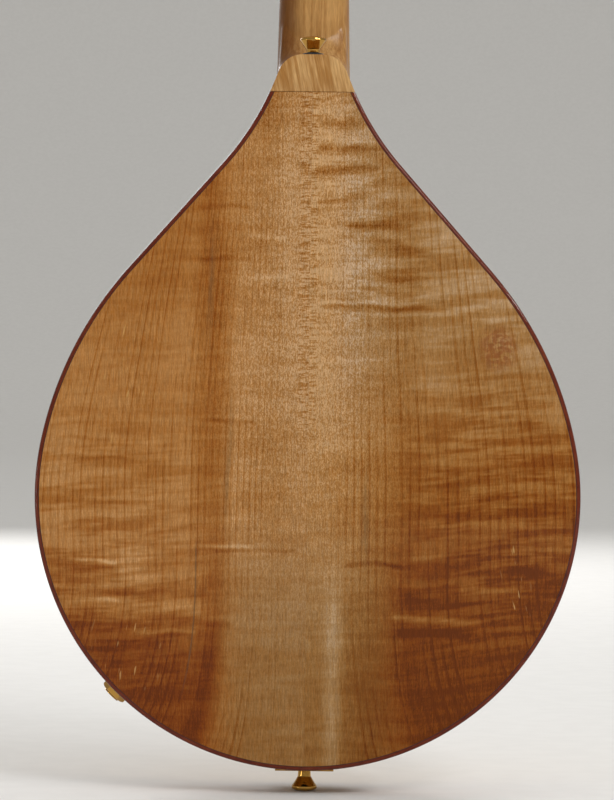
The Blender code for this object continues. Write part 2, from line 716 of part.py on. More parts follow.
def make_tuner_plate(head_frame, side, word, heights, plate_face, gear_y, worm_drop):
    low, high = heights[0] - worm_drop - 0.006, heights[-1] + 0.010
    half = TUNER_PLATE_HALF_WIDTH
    corner = 0.003
    outline = [(half - corner, low), (half, low + corner), (half, high - corner), (half - corner, high)]
    outline += [(-x, z) for x, z in outline[::-1]]
    plate = slab("tuner_plate_" + word, outline, TUNER_PLATE_THICKNESS, "gold",
                 (side * POST_X, plate_face + TUNER_PLATE_THICKNESS / 2, 0), FACE_ON, head_frame)
    lugs = []
    for z in heights:
        for x in (-half + 0.0003, half - 0.0015):
            place = side * POST_X + x
            bottom = (place, plate_face + 0.0006, z - worm_drop - 0.0026)
            lugs.append((bottom, (place + 0.0012, gear_y + 0.0026, z - worm_drop + 0.0022)))
    combine(plate, boxes("lugs_" + word, lugs, parent=head_frame), "UNION")
    bores = rods("shaft_bores_" + word, SHAFT_RADIUS + GAP,
                 [(worm_drop - z, gear_y, -0.01, 0.01) for z in heights], 8,
                 (side * POST_X, 0, 0), (0, math.pi / 2, 0), head_frame)
    combine(plate, bores)
    holes = rods("plate_holes_" + word, POST_RADIUS + GAP, [(0, z, -0.02, 0.01) for z in heights],
                 location=(side * POST_X, 0, 0), rotation=FACE_ON, parent=head_frame)
    combine(plate, holes)


def make_post(head_frame, number, side, z, gear_y):
    """String post with its gear; the string's turns are a ring round it."""
    half_wraps = 0.0018
    profile = [
        (0.0, 0.0135), (0.0022, 0.0135), (0.0028, 0.0130), (0.0026, WRAP_HEIGHT + half_wraps + 0.0006),
        (WRAP_RADIUS, WRAP_HEIGHT + half_wraps), (WRAP_RADIUS, WRAP_HEIGHT - half_wraps),
        (POST_RADIUS, WRAP_HEIGHT - half_wraps - 0.0006), (POST_RADIUS, -gear_y), (0.0, -gear_y),
    ]
    post = turned(f"tuner_post_{number}", profile, "gold", (side * POST_X, 0, z), FACE_ON,
                  head_frame, steps=10)
    gear = slab(f"gear_{number}", gear_outline(), GEAR_THICKNESS, None,
                (side * POST_X, gear_y, z), FACE_ON, head_frame)
    combine(post, gear, "UNION")


def make_button(head_frame, number, side, z, gear_y):
    """Worm shaft with its oval button, on the shaft's axis."""
    inner = POST_X - TUNER_PLATE_HALF_WIDTH - 0.0008
    worm_low = inner + 0.0028
    worm_high = POST_X + TUNER_PLATE_HALF_WIDTH - 0.0022
    tip = 0.0365
    profile = [
        (0.0, tip), (SHAFT_RADIUS, tip), (SHAFT_RADIUS, worm_high), (WORM_RADIUS, worm_high),
        (WORM_RADIUS, worm_low), (SHAFT_RADIUS, worm_low), (SHAFT_RADIUS, inner), (0.0, inner),
    ]
    turn = (0, side * math.pi / 2, 0)
    shaft = turned(f"tuner_button_{number}", profile, "gold", (0, gear_y, z), turn, head_frame, 8)
    knob_profile = [
        (0.0, 0.0490), (0.0036, 0.0483), (0.0058, 0.0455), (0.0058, 0.0410), (0.0034, 0.0368),
        (0.0024, 0.0350), (0.0, 0.0350),
    ]
    knob = turned(f"knob_{number}", knob_profile, None, (0, gear_y, z), turn, head_frame, 10)
    knob.scale = (0.72, 1.0, 1.0)
    combine(shaft, knob, "UNION")


# ---------------------------------------------------------------- bridge, tailpiece and fittings
def string_rest(along):
    """Level of the strings' undersides in the neck's frame; negative is above the board."""
    board_face = -GAP - BOARD_THICKNESS - FRET_HEIGHT
    return board_face - mix(ACTION_JOINT, ACTION_NUT, along / NUT_AT)


def bridge_rest():
    """World point where the strings' undersides cross the middle of the bridge."""
    along = NUT_AT - SCALE_LENGTH
    lift = string_rest(along)
    y = NECK_FACE_Y + lift * math.cos(NECK_PITCH) + along * math.sin(NECK_PITCH)
    z = BODY_LENGTH - lift * math.sin(NECK_PITCH) + along * math.cos(NECK_PITCH)
    return y, z


BRIDGE_Y, BRIDGE_Z = bridge_rest()
WHEEL_FACE = BRIDGE_BASE_TOP + SADDLE_DROP + 2 * GAP   # distance of the wheels from the mid plane
SADDLE_LOW = WHEEL_FACE + WHEEL_THICKNESS + GAP        # distance of the saddle's underside


def make_bridge():
    """A floating bridge: base with two studs, a wheel on each, and the saddle that they lift."""
    feet = []
    for i in range(-4, 5):
        x = BRIDGE_HALF_LENGTH * i / 4
        level = RIM_HALF + arch_height(TOP_ARCH, x, BRIDGE_Z) + 2 * GAP
        hollow = BRIDGE_HOLLOW if abs(i) < 2 else 0.0
        feet.append((x, -level - hollow))
    end_y = feet[0][1] - 0.0022
    shoulder = BRIDGE_HALF_LENGTH * 0.86
    upper = [(BRIDGE_HALF_LENGTH, end_y), (shoulder, -BRIDGE_BASE_TOP),
             (-shoulder, -BRIDGE_BASE_TOP), (-BRIDGE_HALF_LENGTH, end_y)]
    base = slab("bridge_base", feet + upper, BRIDGE_WIDTH, "ebony", (0, 0, BRIDGE_Z), END_ON)
    stud_tip = SADDLE_LOW + 0.0035
    places = [side * STUD_X for side in (-1, 1)]
    studs = rods("studs", STUD_RADIUS, [(x, BRIDGE_Z, 0.0340, stud_tip) for x in places], 12,
                 rotation=FACE_ON)
    combine(base, studs, "UNION")

    top = BRIDGE_Y + GAP
    half = BRIDGE_HALF_LENGTH * 0.93
    outline = [(-half * 0.93, -SADDLE_LOW), (half * 0.93, -SADDLE_LOW), (half, -SADDLE_LOW - 0.0015),
               (half * 0.90, -SADDLE_LOW - 0.0035), (half * 0.50, top), (-half * 0.50, top),
               (-half * 0.90, -SADDLE_LOW - 0.0035), (-half, -SADDLE_LOW - 0.0015)]
    saddle = slab("bridge_saddle", outline, SADDLE_WIDTH, "ebony", (0, 0, BRIDGE_Z), END_ON)
    hole_end = stud_tip + SADDLE_DROP + 2 * GAP
    holes = rods("stud_holes", STUD_RADIUS + GAP, [(x, BRIDGE_Z, 0.0340, hole_end) for x in places],
                 12, rotation=FACE_ON)
    combine(saddle, holes)
    ring = [(STUD_RADIUS + GAP, WHEEL_THICKNESS), (WHEEL_RADIUS, WHEEL_THICKNESS), (WHEEL_RADIUS, 0),
            (STUD_RADIUS + GAP, 0)]
    for x, word in zip(places, ("bass", "treble")):
        turned("thumbwheel_" + word, ring, "brass", (x, -WHEEL_FACE, BRIDGE_Z), FACE_ON,
               closed=True)


def string_places(course_step, pair_step):
    """Across positions of the eight strings, from the bass side."""
    return [
        (course - 1.5) * course_step + (pair - 0.5) * pair_step
        for course in range(4) for pair in range(2)
    ]


def make_tailpiece():
    """Bent plate over the tail end with eight hooks, and the cover that slides onto it."""
    flange, low, high = 0.0090, -0.0017, 0.058
    skin = TAILPIECE_THICKNESS
    outline = [(flange, low), (-0.0255, low), (-0.0322, high), (-0.0322 + skin, high),
               (-0.0255 + skin, low + skin), (flange, low + skin)]
    plate = slab("tailpiece", outline, 2 * TAILPIECE_HALF_WIDTH, "gold", rotation=SIDE_ON)
    hooks = [
        ((x - 0.0007, HOOK_Y - 0.0015, HOOK_Z - 0.0012), (x + 0.0007, -0.0310, HOOK_Z))
        for x in string_places(COURSE_STEP_TAIL, PAIR_STEP_TAIL)
    ]
    combine(plate, boxes("hooks", hooks), "UNION")
    combine(plate, rods("flange_hole", BUTTON_SHANK + GAP, [(0, 0, -0.01, 0.01)]))

    shape = bmesh.new()
    half = COVER_HALF_WIDTH
    rings = []
    for z, cheek, roof in ((-0.0015, -0.0257, -0.0305), (0.020, -0.0272, -0.0358),
                           (0.040, -0.0287, -0.0390), (0.062, -0.0303, -0.0408)):
        side = [(half, cheek), (half, roof + 0.0030), (half - 0.0012, roof + 0.0010),
                (half - 0.0036, roof)]
        across = side + [(0, roof - 0.0008)] + [(-x, y) for x, y in side[::-1]]
        rings.append([shape.verts.new((x, y, z)) for x, y in across])
    for one, two in zip(rings, rings[1:]):
        for i in range(len(one) - 1):
            shape.faces.new((one[i], two[i], two[i + 1], one[i + 1]))
    mesh = bpy.data.meshes.new("tailpiece_cover")
    shape.to_mesh(mesh)
    shape.free()
    cover = put(bpy.data.objects.new("tailpiece_cover", mesh), "gold", (0, 0, 0), END_ON, None)
    solid = cover.modifiers.new("thickness", "SOLIDIFY")
    solid.thickness = COVER_THICKNESS
    solid.offset = -1
    smooth(cover)


def jack_point(inset):
    """The point of the rim where the jack sits, moved inward by inset."""
    reach = BOUT_RADIUS - inset
    return (reach * math.sin(JACK_ANGLE), 0, BOUT_RADIUS - reach * math.cos(JACK_ANGLE))


def jack_turn():
    """Turns +Z to point straight out of the rim at the jack."""
    return (0, math.pi - JACK_ANGLE, 0)


def make_fittings():
    """Strap buttons, the output jack, and the pickup with its lead."""
    end = [(0.0, 0.0118), (0.0052, 0.0118), (0.0063, 0.0108), (0.0063, 0.0098), (0.0033, 0.0048),
           (0.0033, 0.0020), (BUTTON_SHANK, 0.0020), (BUTTON_SHANK, -0.0160), (0.0, -0.0160)]
    turned("end_button", end, "gold", rotation=(math.pi, 0, 0))
    heel = [(0.0, 0.0094), (0.0050, 0.0094), (0.0060, 0.0088), (0.0064, 0.0078), (0.0061, 0.0068),
            (0.0031, 0.0032), (0.0031, 0.0017), (0.0015, 0.0017), (0.0015, -0.0125), (0.0, -0.0125)]
    place = (0, HEEL_BUTTON_Y, HEEL_TOP_Z)
    turned("heel_button", heel, "gold", place)
    washer = [(0.0018, 0.0014), (0.0045, 0.0014), (0.0045, 0.0004), (0.0018, 0.0004)]
    turned("heel_button_washer", washer, "felt", place, closed=True)

    jack = [
        (0.0, -0.0200), (0.0032, -0.0200), (0.0032, 0.0050), (0.0045, 0.0050), (0.0045, 0.0042),
        (0.0062, 0.0042), (0.0062, 0.0018), (0.0070, 0.0018), (0.0070, 0.0004), (0.0045, 0.0004),
        (0.0045, -0.0030), (0.0065, -0.0030), (0.0065, -0.0060), (0.0050, -0.0062),
        (0.0050, -JACK_DEPTH), (0.0, -JACK_DEPTH),
    ]
    turned("output_jack", jack, "gold", jack_point(0), jack_turn())

    x, z = PICKUP_PLACE
    face = under_plate(TOP_ARCH, x, z) - 0.0006
    disc = [(0.0, face), (0.0095, face), (0.0100, face - 0.0003), (0.0100, face - 0.0012),
            (0.0, face - 0.0012)]
    turned("pickup", disc, "brass", (x, 0, z), FACE_ON)
    solder = Vector(jack_point(JACK_DEPTH + GAP))
    inward = Vector((-math.sin(JACK_ANGLE), 0, math.cos(JACK_ANGLE)))
    route = [
        Vector((x, -face + 0.0006, z - 0.0104)), Vector((x + 0.003, -0.0225, z - 0.020)),
        Vector((x + 0.014, -0.0150, z - 0.036)), Vector((x + 0.032, -0.0070, z - 0.056)),
        solder + 0.014 * inward, solder + 0.006 * inward, solder,
    ]
    wire("pickup_lead", smooth_route(route), 0.0009, "rubber")


def smooth_route(points, steps=3):
    """Points along a smooth curve through the route's own points."""
    padded = [2 * points[0] - points[1], *points, 2 * points[-1] - points[-2]]
    path = []
    for before, start, end, after in zip(padded, padded[1:], padded[2:], padded[3:]):
        for i in range(steps):
            t = i / steps
            path.append(0.5 * (2 * start + (end - before) * t
                               + (2 * before - 5 * start + 4 * end - after) * t**2
                               + (3 * start - before - 3 * end + after) * t**3))
    return path + [points[-1]]


def make_strings(neck_frame, head_frame):
    """Eight strings: hook, saddle, nut and post, in four pairs."""
    neck = neck_frame.matrix_basis
    head = neck @ head_frame.matrix_basis
    hooks = string_places(COURSE_STEP_TAIL, PAIR_STEP_TAIL)
    saddles = string_places(COURSE_STEP_SADDLE, PAIR_STEP_SADDLE)
    nuts = string_places(COURSE_STEP_NUT, PAIR_STEP_NUT)
    courses = [course for course in STRING_RADII for _ in range(2)]
    heights = post_heights()
    for number, course in enumerate(courses):
        radius = STRING_RADII[course]
        side = -1 if number < 4 else 1
        height = heights[number if number < 4 else 7 - number]
        beside = side * (POST_X - WRAP_RADIUS - radius - GAP)
        points = [
            Vector((hooks[number], HOOK_Y, HOOK_Z + GAP)),
            Vector((saddles[number], BRIDGE_Y - radius, BRIDGE_Z)),
            neck @ Vector((nuts[number], string_rest(NUT_AT) - radius, NUT_AT + NUT_THICKNESS / 2)),
            head @ Vector((beside, -WRAP_HEIGHT, height)),
        ]
        look = "bronze" if course in "gd" else "steel"
        wire(f"string_{course}{number % 2 + 1}", points, radius, look)


# ---------------------------------------------------------------- assembly
def build():
    neck_frame = frame("neck_frame", (0, NECK_FACE_Y, BODY_LENGTH), (-NECK_PITCH, 0, 0))
    head_frame = frame("head_frame", (0, 0, HEAD_AT), (-HEAD_PITCH, 0, 0), neck_frame)
    make_body()
    posts = make_neck(neck_frame, head_frame)
    make_board(neck_frame, head_frame, posts)
    make_tuners(head_frame)
    make_bridge()
    make_tailpiece()
    make_fittings()
    make_strings(neck_frame, head_frame)


build()
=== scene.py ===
import math

import bmesh
import bpy
from mathutils import Matrix, Vector


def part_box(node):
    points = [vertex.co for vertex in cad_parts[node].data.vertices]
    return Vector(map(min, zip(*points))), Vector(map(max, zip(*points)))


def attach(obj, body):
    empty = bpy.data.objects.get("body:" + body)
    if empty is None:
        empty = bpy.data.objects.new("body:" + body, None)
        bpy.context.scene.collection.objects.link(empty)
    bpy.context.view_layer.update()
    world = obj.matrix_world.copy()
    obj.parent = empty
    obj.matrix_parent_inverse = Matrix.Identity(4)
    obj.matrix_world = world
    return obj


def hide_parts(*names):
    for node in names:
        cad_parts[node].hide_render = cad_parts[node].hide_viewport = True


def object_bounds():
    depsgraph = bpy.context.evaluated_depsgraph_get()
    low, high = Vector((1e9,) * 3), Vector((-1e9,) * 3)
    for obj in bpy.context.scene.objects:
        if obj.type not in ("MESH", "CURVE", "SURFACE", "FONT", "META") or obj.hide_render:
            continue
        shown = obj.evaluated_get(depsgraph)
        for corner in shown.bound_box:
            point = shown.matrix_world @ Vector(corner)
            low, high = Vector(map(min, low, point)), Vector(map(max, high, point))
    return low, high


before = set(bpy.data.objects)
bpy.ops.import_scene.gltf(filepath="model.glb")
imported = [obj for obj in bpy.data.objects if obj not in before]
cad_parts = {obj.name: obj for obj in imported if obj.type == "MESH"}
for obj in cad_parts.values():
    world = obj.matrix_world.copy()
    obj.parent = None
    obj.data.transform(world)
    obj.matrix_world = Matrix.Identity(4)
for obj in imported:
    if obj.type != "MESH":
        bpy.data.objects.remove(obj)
CAD_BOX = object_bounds()

# A teardrop mandolin, seen from behind. +Z runs up the neck, the soundboard faces -Y and the
# treble side is +X. The origin is the tail end of the rim, on the centreline, midway in depth.

# ---------------------------------------------------------------- driving dimensions, in metres
HAIRLINE = 0.00004                # width of a glued joint between two visible pieces
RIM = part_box("back_binding")
RIM_HALF = RIM[1].y               # half the depth of the rim
BODY_LENGTH = 0.3335
BOUT_RADIUS = 0.1342
BOUT_END = math.radians(10.87)
SHOULDER_RADIUS = 0.1845
SHOULDER_END = BOUT_END + math.radians(30.45)
FLANK_LENGTH = 0.0685             # the straight stretch between the shoulder and the flare
FLARE_RADIUS = 0.142
BACK_ARCH = 0.008                 # how far the middle of each plate stands above its rim
TOP_ARCH = 0.007
PLATE_THICKNESS = 0.003
RIB_THICKNESS = 0.0023
BINDING_WIDTH = 0.0019
BINDING_DEPTH = 0.0055
BINDING_EASE = 0.0012             # radius of the binding's outer corner
PURFLING = 0.0003
PURFLING_DEPTH = 0.0020
GRAFT_HALF = 0.006
SOUNDHOLE = (0.033, 0.0225)       # half width and half height
SOUNDHOLE_Z = 0.2215

NECK_PITCH = math.radians(4.0)
HEAD_PITCH = math.radians(13.0)
NECK_FACE_Y = -0.0240
NUT_AT = 0.1762
HEAD_AT = NUT_AT + 0.0050
NECK_HALF = (0.0187, 0.0147)      # half the neck's width at the body joint and at the nut
NECK_DEPTH = (0.0155, 0.0135)
HEEL_TOP_Z = 0.3520
HEEL_CORNER = 0.0125
HEEL_SLOPE = 0.42
CAP_THICKNESS = 0.003
HEEL_BUTTON_Y = 0.0125
HEAD_THICKNESS = 0.0125

SCALE_LENGTH = 2 * NUT_AT         # the neck joins the body at the twelfth fret
FRET_COUNT = 20
FRET_HEIGHT = 0.0010
BOARD_GLUE = 0.0003               # the board's underside above the neck's face
BOARD_FACE = BOARD_GLUE + 0.006   # and its upper face
BOARD_LOW = -0.0735               # the end of the board, over the soundboard
NUT_THICKNESS = 0.0045
VENEER_FACE = 0.0018              # the veneer's face above the headstock's
FIRST_POST = 0.026                # posts: height of the first, spacing, and distance from the centre
POST_SPACING = 0.023
POST_X = 0.0208
POST_WAIST = 0.0027               # radius under the string's turns
WRAP_HEIGHT = 0.0068
PLATE_FACE = HEAD_THICKNESS + 0.0003
TUNER_PLATE = 0.0012              # thickness of the tuners' plates
GEAR_DEPTH = 0.0163               # the gears' middle behind the headstock's face
GEAR_RADIUS = 0.0058
GEAR_TEETH = 15
WORM_DROP = 0.0081                # the worm's axis below the post's
SHAFT_RADIUS = 0.0014
POST_HOLE = 0.0041                # radius of the posts' holes in the headstock

BRIDGE_Y = -0.0466658             # the strings' undersides at the bridge
BRIDGE_Z = 0.1584547
STUD_X = 0.036
SADDLE_FOOT = 0.0397              # the saddle's underside and its ends' crest, from the mid plane
SADDLE_END = SADDLE_FOOT + 0.0035
WHEEL_LOW = 0.0378                # the wheels' two faces, from the mid plane
WHEEL_HIGH = 0.0394
HOOK_Y = -0.0335                  # the middle of the strings' loops
HOOK_Z = 0.052
STRINGS = (("g", 0.00051), ("d", 0.00033), ("a", 0.00020), ("e", 0.00015))   # course and radius
WOUND_FROM = 0.0003               # strings thicker than this radius are wound
MOST_TURNS = 6                    # of a string on its post
WRAP_LENGTH = 0.0032              # of the post's waist, taken up by the turns
HOOK_STEPS = (0.0066, 0.0031)     # distance between courses, and between the strings of a pair
SADDLE_STEPS = (0.0125, 0.0027)
NUT_STEPS = (0.0074, 0.0020)

# ---------------------------------------------------------------- frames and turns
FACE_ON = Matrix.Rotation(math.pi / 2, 4, "X")                      # local z faces -Y
BACK_ON = Matrix.Rotation(-math.pi / 2, 4, "X")                     # local z faces +Y
SIDE_ON = Matrix.Rotation(math.pi / 2, 4, "Z") @ Matrix.Rotation(math.pi / 2, 4, "X")
ALONG_X = Matrix.Rotation(math.pi / 2, 4, "Y")                      # local z faces +X
NECK = Matrix.Translation((0, NECK_FACE_Y, BODY_LENGTH)) @ Matrix.Rotation(-NECK_PITCH, 4, "X")
HEAD = NECK @ Matrix.Translation((0, 0, HEAD_AT)) @ Matrix.Rotation(-HEAD_PITCH, 4, "X")


def mix(a, b, share):
    """The number a share of the way from a to b."""
    return a + (b - a) * share


def soft(value, low, high):
    """A smooth rise from 0 at low to 1 at high."""
    t = min(1.0, max(0.0, (value - low) / (high - low)))
    return t * t * (3 - 2 * t)


def unit(angle):
    """The unit vector at an angle in a plane."""
    return Vector((math.cos(angle), math.sin(angle)))


def polar(radius, angle, height):
    """A point at a radius and angle about Z."""
    return Vector((radius * math.cos(angle), radius * math.sin(angle), height))


def mirrored(half):
    """Half an outline and its mirror image. A corner on the centreline comes once."""
    return half + [(-x, z, radius) for x, z, radius in half[::-1] if x != 0]


def reflected(points):
    """The points' mirror images, from the last to the first."""
    return [Vector((-p.x, p.y)) for p in points[::-1]]


def at(*place):
    """A frame moved to a place."""
    return Matrix.Translation(place)


def turns(steps):
    """The angles of a full turn in equal steps."""
    return [2 * math.pi * k / steps for k in range(steps)]


SIDES = (("bass", -1), ("treble", 1))
POST_HEIGHTS = [FIRST_POST + POST_SPACING * n for n in range(4)]
POSTS = [(side, z) for side in (-1, 1) for z in POST_HEIGHTS]


def post_place(side, z):
    """Where a post stands in the headstock's face, with local Z out of it."""
    return HEAD @ at(side * POST_X, 0, z) @ FACE_ON


# ---------------------------------------------------------------- materials: a small node builder
def arithmetic(operation):
    """A method that gives the field of an operation on two values."""
    return lambda self, other: self.look.math(operation, self, other)


class Field:
    """A number or colour that varies over a surface. Arithmetic on it adds nodes."""

    def __init__(self, look, socket):
        self.look = look
        self.socket = socket

    __add__ = __radd__ = arithmetic("ADD")
    __sub__ = arithmetic("SUBTRACT")
    __mul__ = __rmul__ = arithmetic("MULTIPLY")
    __truediv__ = arithmetic("DIVIDE")
    __pow__ = arithmetic("POWER")

    def __rsub__(self, other):
        return self.look.math("SUBTRACT", other, self)

    def __abs__(self):
        return self.look.math("ABSOLUTE", self)


class Look:
    """A material: constants go on the shader's own sockets, fields are linked to them."""

    def __init__(self, name, **settings):
        self.material = bpy.data.materials.new(name)
        self.material.use_nodes = True
        self.tree = self.material.node_tree
        self.shader = self.tree.nodes["Principled BSDF"]
        self.set(**settings)
        place = self.tree.nodes.new("ShaderNodeTexCoord").outputs["Object"]
        split = self.tree.nodes.new("ShaderNodeSeparateXYZ")
        self.tree.links.new(place, split.inputs[0])
        self.place = Field(self, place)
        self.x, self.y, self.z = (Field(self, socket) for socket in split.outputs)

    def set(self, **settings):
        """Sets shader sockets, named with underscores, to numbers, colours or fields."""
        for name, value in settings.items():
            socket = self.shader.inputs[name.replace("_", " ")]
            if isinstance(value, Field):
                self.tree.links.new(value.socket, socket)
            elif isinstance(value, tuple):
                socket.default_value = (*value, 1.0)
            else:
                socket.default_value = value
        return self

    def node(self, kind, inputs, output=0, **settings):
        """Adds a node, feeds its inputs by name or number, and gives one output."""
        made = self.tree.nodes.new("ShaderNode" + kind)
        for name, value in settings.items():
            setattr(made, name, value)
        for key, value in inputs.items():
            if isinstance(value, Field):
                self.tree.links.new(value.socket, made.inputs[key])
            elif isinstance(value, tuple) and len(made.inputs[key].default_value) == 4:
                made.inputs[key].default_value = (*value, 1.0)
            else:
                made.inputs[key].default_value = value
        return Field(self, made.outputs[output])

    def math(self, operation, *values, clamp=False):
        return self.node("Math", dict(enumerate(values)), operation=operation, use_clamp=clamp)

    def vector(self, x, y, z):
        return self.node("CombineXYZ", {0: x, 1: y, 2: z})

    def attribute(self, name):
        return self.node("Attribute", {}, output="Fac", attribute_name=name)

    def noise(self, where, scale=1.0, detail=2.0, roughness=0.5, distortion=0.0):
        """Smooth noise about 0.5, at scale features a metre."""
        sockets = {"Vector": where, "Scale": scale, "Detail": detail, "Roughness": roughness,
                   "Distortion": distortion}
        return self.node("TexNoise", sockets)

    def grain(self, x, y, z, **settings):
        """Noise at a place whose coordinates are each scaled as the grain runs."""
        return self.noise(self.vector(x, y, z), **settings)

    def step(self, value, low, high):
        """A smooth rise from 0 at low to 1 at high."""
        sockets = {"Value": value, "From Min": low, "From Max": high}
        return self.node("MapRange", sockets, interpolation_type="SMOOTHSTEP")

    def hill(self, value, centre, half):
        """1 at the centre, smoothly 0 at half away from it."""
        return self.step(half - abs(value - centre), 0.0, half)

    def ramp(self, value, stops, smooth=True):
        """Colours or numbers at places along 0 to 1."""
        made = self.tree.nodes.new("ShaderNodeValToRGB")
        made.color_ramp.interpolation = "EASE" if smooth else "LINEAR"
        elements = made.color_ramp.elements
        for _ in stops[2:]:
            elements.new(0.5)
        for element, (place, _) in zip(elements, stops):
            element.position = place
        for element, (_, colour) in zip(elements, stops):
            element.color = (*colour, 1.0) if isinstance(colour, tuple) else (colour,) * 3 + (1.0,)
        self.tree.links.new(value.socket, made.inputs[0])
        return Field(self, made.outputs[0])

    def between(self, value, low, high):
        """From one colour or number to another as a noise goes from its low to its high places."""
        return self.ramp(value, [(0.3, low), (0.7, high)])

    def blend(self, share, one, two, mode="MIX"):
        """Mixes two colours."""
        made = self.tree.nodes.new("ShaderNodeMix")
        made.data_type = "RGBA"
        made.blend_type = mode
        for socket, value in ((made.inputs[0], share), (made.inputs[6], one), (made.inputs[7], two)):
            if isinstance(value, Field):
                self.tree.links.new(value.socket, socket)
            elif isinstance(value, tuple):
                socket.default_value = (*value, 1.0)
            else:
                socket.default_value = value
        return Field(self, made.outputs[2])

    def bump(self, height, depth, strength=1.0):
        """Relief whose height field of 0 to 1 stands for depth metres."""
        return self.node("Bump", {"Height": height, "Distance": depth, "Strength": strength})

    def finished(self, colour, fibre, dark=0.88, light=1.10):
        """The material of a wood: its colour varied by the fibre, which also gives the relief."""
        shaded = self.blend(1.0, colour, self.ramp(fibre, [(0.30, dark), (0.70, light)]), "MULTIPLY")
        return self.set(Base_Color=shaded, Normal=self.bump(fibre, 0.00002, 0.3)).material


LACQUER = {"Coat_Weight": 1.0, "Coat_Roughness": 0.05, "Coat_IOR": 1.22, "Specular_IOR_Level": 0.05}


# The figure of the back is drawn in metres: across from the seam, z up from the tail. Every part of
# it adds to or takes from a shade of 0 to 1, and the last factor of a part is its strength.
# Single curls, one by one: height, half thickness, where it starts and ends across the half, how it
# rises outward, and how much darker (or, negative, paler) it is.
CURLS = {
    -1: (
        (0.3192, 0.0022, 0.0012, 0.030, 0.00, 0.50), (0.3062, 0.0020, 0.0012, 0.037, 0.00, 0.46),
        (0.2940, 0.0024, 0.0012, 0.045, 0.07, 0.60), (0.2797, 0.0015, 0.0012, 0.037, 0.09, 0.42),
        (0.2681, 0.0024, 0.016, 0.050, 0.00, 0.46), (0.2630, 0.0013, 0.020, 0.062, 0.00, -0.26),
        (0.2574, 0.0042, 0.027, 0.064, 0.00, 0.40), (0.2427, 0.0030, 0.029, 0.074, 0.00, 0.38),
        (0.2302, 0.0009, 0.004, 0.062, -0.01, -0.36), (0.2280, 0.0019, 0.004, 0.078, -0.01, 0.46),
        (0.2022, 0.0009, 0.012, 0.052, 0.02, -0.26), (0.1328, 0.0008, 0.036, 0.070, 0.00, -0.22),
        (0.1064, 0.0008, 0.050, 0.076, 0.00, -0.26), (0.1019, 0.0010, 0.018, 0.058, 0.00, 0.42),
        (0.0988, 0.0032, 0.096, 0.120, 0.00, 0.34), (0.0910, 0.0022, 0.073, 0.117, 0.00, -0.32),
        (0.0850, 0.0050, 0.043, 0.094, -0.03, 0.32), (0.0762, 0.0020, 0.040, 0.096, -0.05, -0.50),
        (0.0682, 0.0024, 0.043, 0.094, -0.03, 0.44),
    ),
    1: (
        (0.2760, 0.0013, 0.028, 0.062, 0.00, 0.24), (0.2623, 0.0011, 0.010, 0.036, 0.00, -0.24),
        (0.2510, 0.0012, 0.028, 0.068, 0.00, 0.32), (0.2418, 0.0010, 0.008, 0.038, 0.00, -0.28),
        (0.1717, 0.0010, 0.024, 0.062, 0.00, 0.34), (0.1620, 0.0010, 0.096, 0.124, 0.04, 0.24),
        (0.1526, 0.0013, 0.088, 0.124, 0.02, 0.26), (0.1098, 0.0009, 0.026, 0.080, 0.00, -0.30),
        (0.1076, 0.0010, 0.004, 0.072, 0.00, 0.28), (0.1021, 0.0008, 0.092, 0.124, 0.05, -0.42),
        (0.0983, 0.0030, 0.090, 0.127, 0.03, 0.36), (0.0861, 0.0030, 0.046, 0.121, 0.00, 0.38),
        (0.0831, 0.0009, 0.090, 0.120, 0.00, -0.34), (0.0788, 0.0030, 0.050, 0.092, 0.00, -0.28),
        (0.0729, 0.0021, 0.034, 0.092, 0.00, 0.38), (0.0675, 0.0010, 0.052, 0.090, 0.00, -0.46),
    ),
}


def maple_back(name, side):
    """Flamed maple under lacquer: pale near the seam, amber streaks, darker towards the tail."""
    look = Look(name, Roughness=0.45, **LACQUER)
    across = look.x * side
    z = look.z
    seed = 3.7 * side
    drift = look.grain(across * 9, seed, z * 5, detail=1) - 0.5
    low = look.math("MAXIMUM", 0.10 - z, 0.0) * 10
    spread = across * (1 - low * low * 0.28) + drift * 0.012

    shade = broad_tone(look, side, spread, across, z)
    cloud = look.grain(across * 34, seed, z * 24, detail=3, roughness=0.6) - 0.5
    shade = shade + cloud * 0.22 + curls(look, side, across, z) + waves(look, side, across, z, drift)
    above = look.math("MAXIMUM", z - 0.13, 0.0)
    bowed = spread + above * above * across * across * 166
    rings = growth_lines(look, bowed, z, 0.0044 if side > 0 else 0.0056)
    shade = shade + rings * 0.24 + speckle(look, side, across, z)
    shade = shade + ray_flecks(look, side, across, z)
    shade = look.math("MULTIPLY", shade, 1.0, clamp=True)
    colour = look.ramp(shade, [(0.0, (0.55, 0.335, 0.165)), (0.20, (0.430, 0.222, 0.078)),
                               (0.43, (0.335, 0.142, 0.031)), (0.65, (0.255, 0.084, 0.010)),
                               (0.85, (0.195, 0.047, 0.002)), (1.0, (0.125, 0.026, 0.001))], smooth=False)
    if side > 0:
        tint = look.blend(look.step(across, 0.012, 0.050), (0.99, 0.995, 1.01), (1.04, 0.955, 0.84))
    else:
        upper = look.step(z, 0.15, 0.22) * look.step(across, 0.008, 0.026)
        tint = look.blend(upper, (0.99, 0.985, 0.95), (0.97, 1.13, 1.50))
    colour = look.blend(1.0, colour, tint, "MULTIPLY")
    greyer = look.step(0.135 - z, 0.0, 0.07) * look.step(0.050 - across, 0.0, 0.020)
    colour = look.blend(greyer, colour, (0.87, 0.96, 1.12), "MULTIPLY")
    colour = look.blend(smudges(look, side, spread, z), colour, (0.105, 0.070, 0.034))
    if side < 0:
        colour = look.blend(knot(look, across, z), colour, (0.230, 0.068, 0.017))
    colour = look.blend(pale_flecks(look, side, across, z), colour, (0.62, 0.38, 0.13))
    fibre = look.grain(look.x * 2400, look.y * 400, z * 240)
    return look.finished(colour, fibre, 0.84, 1.14)


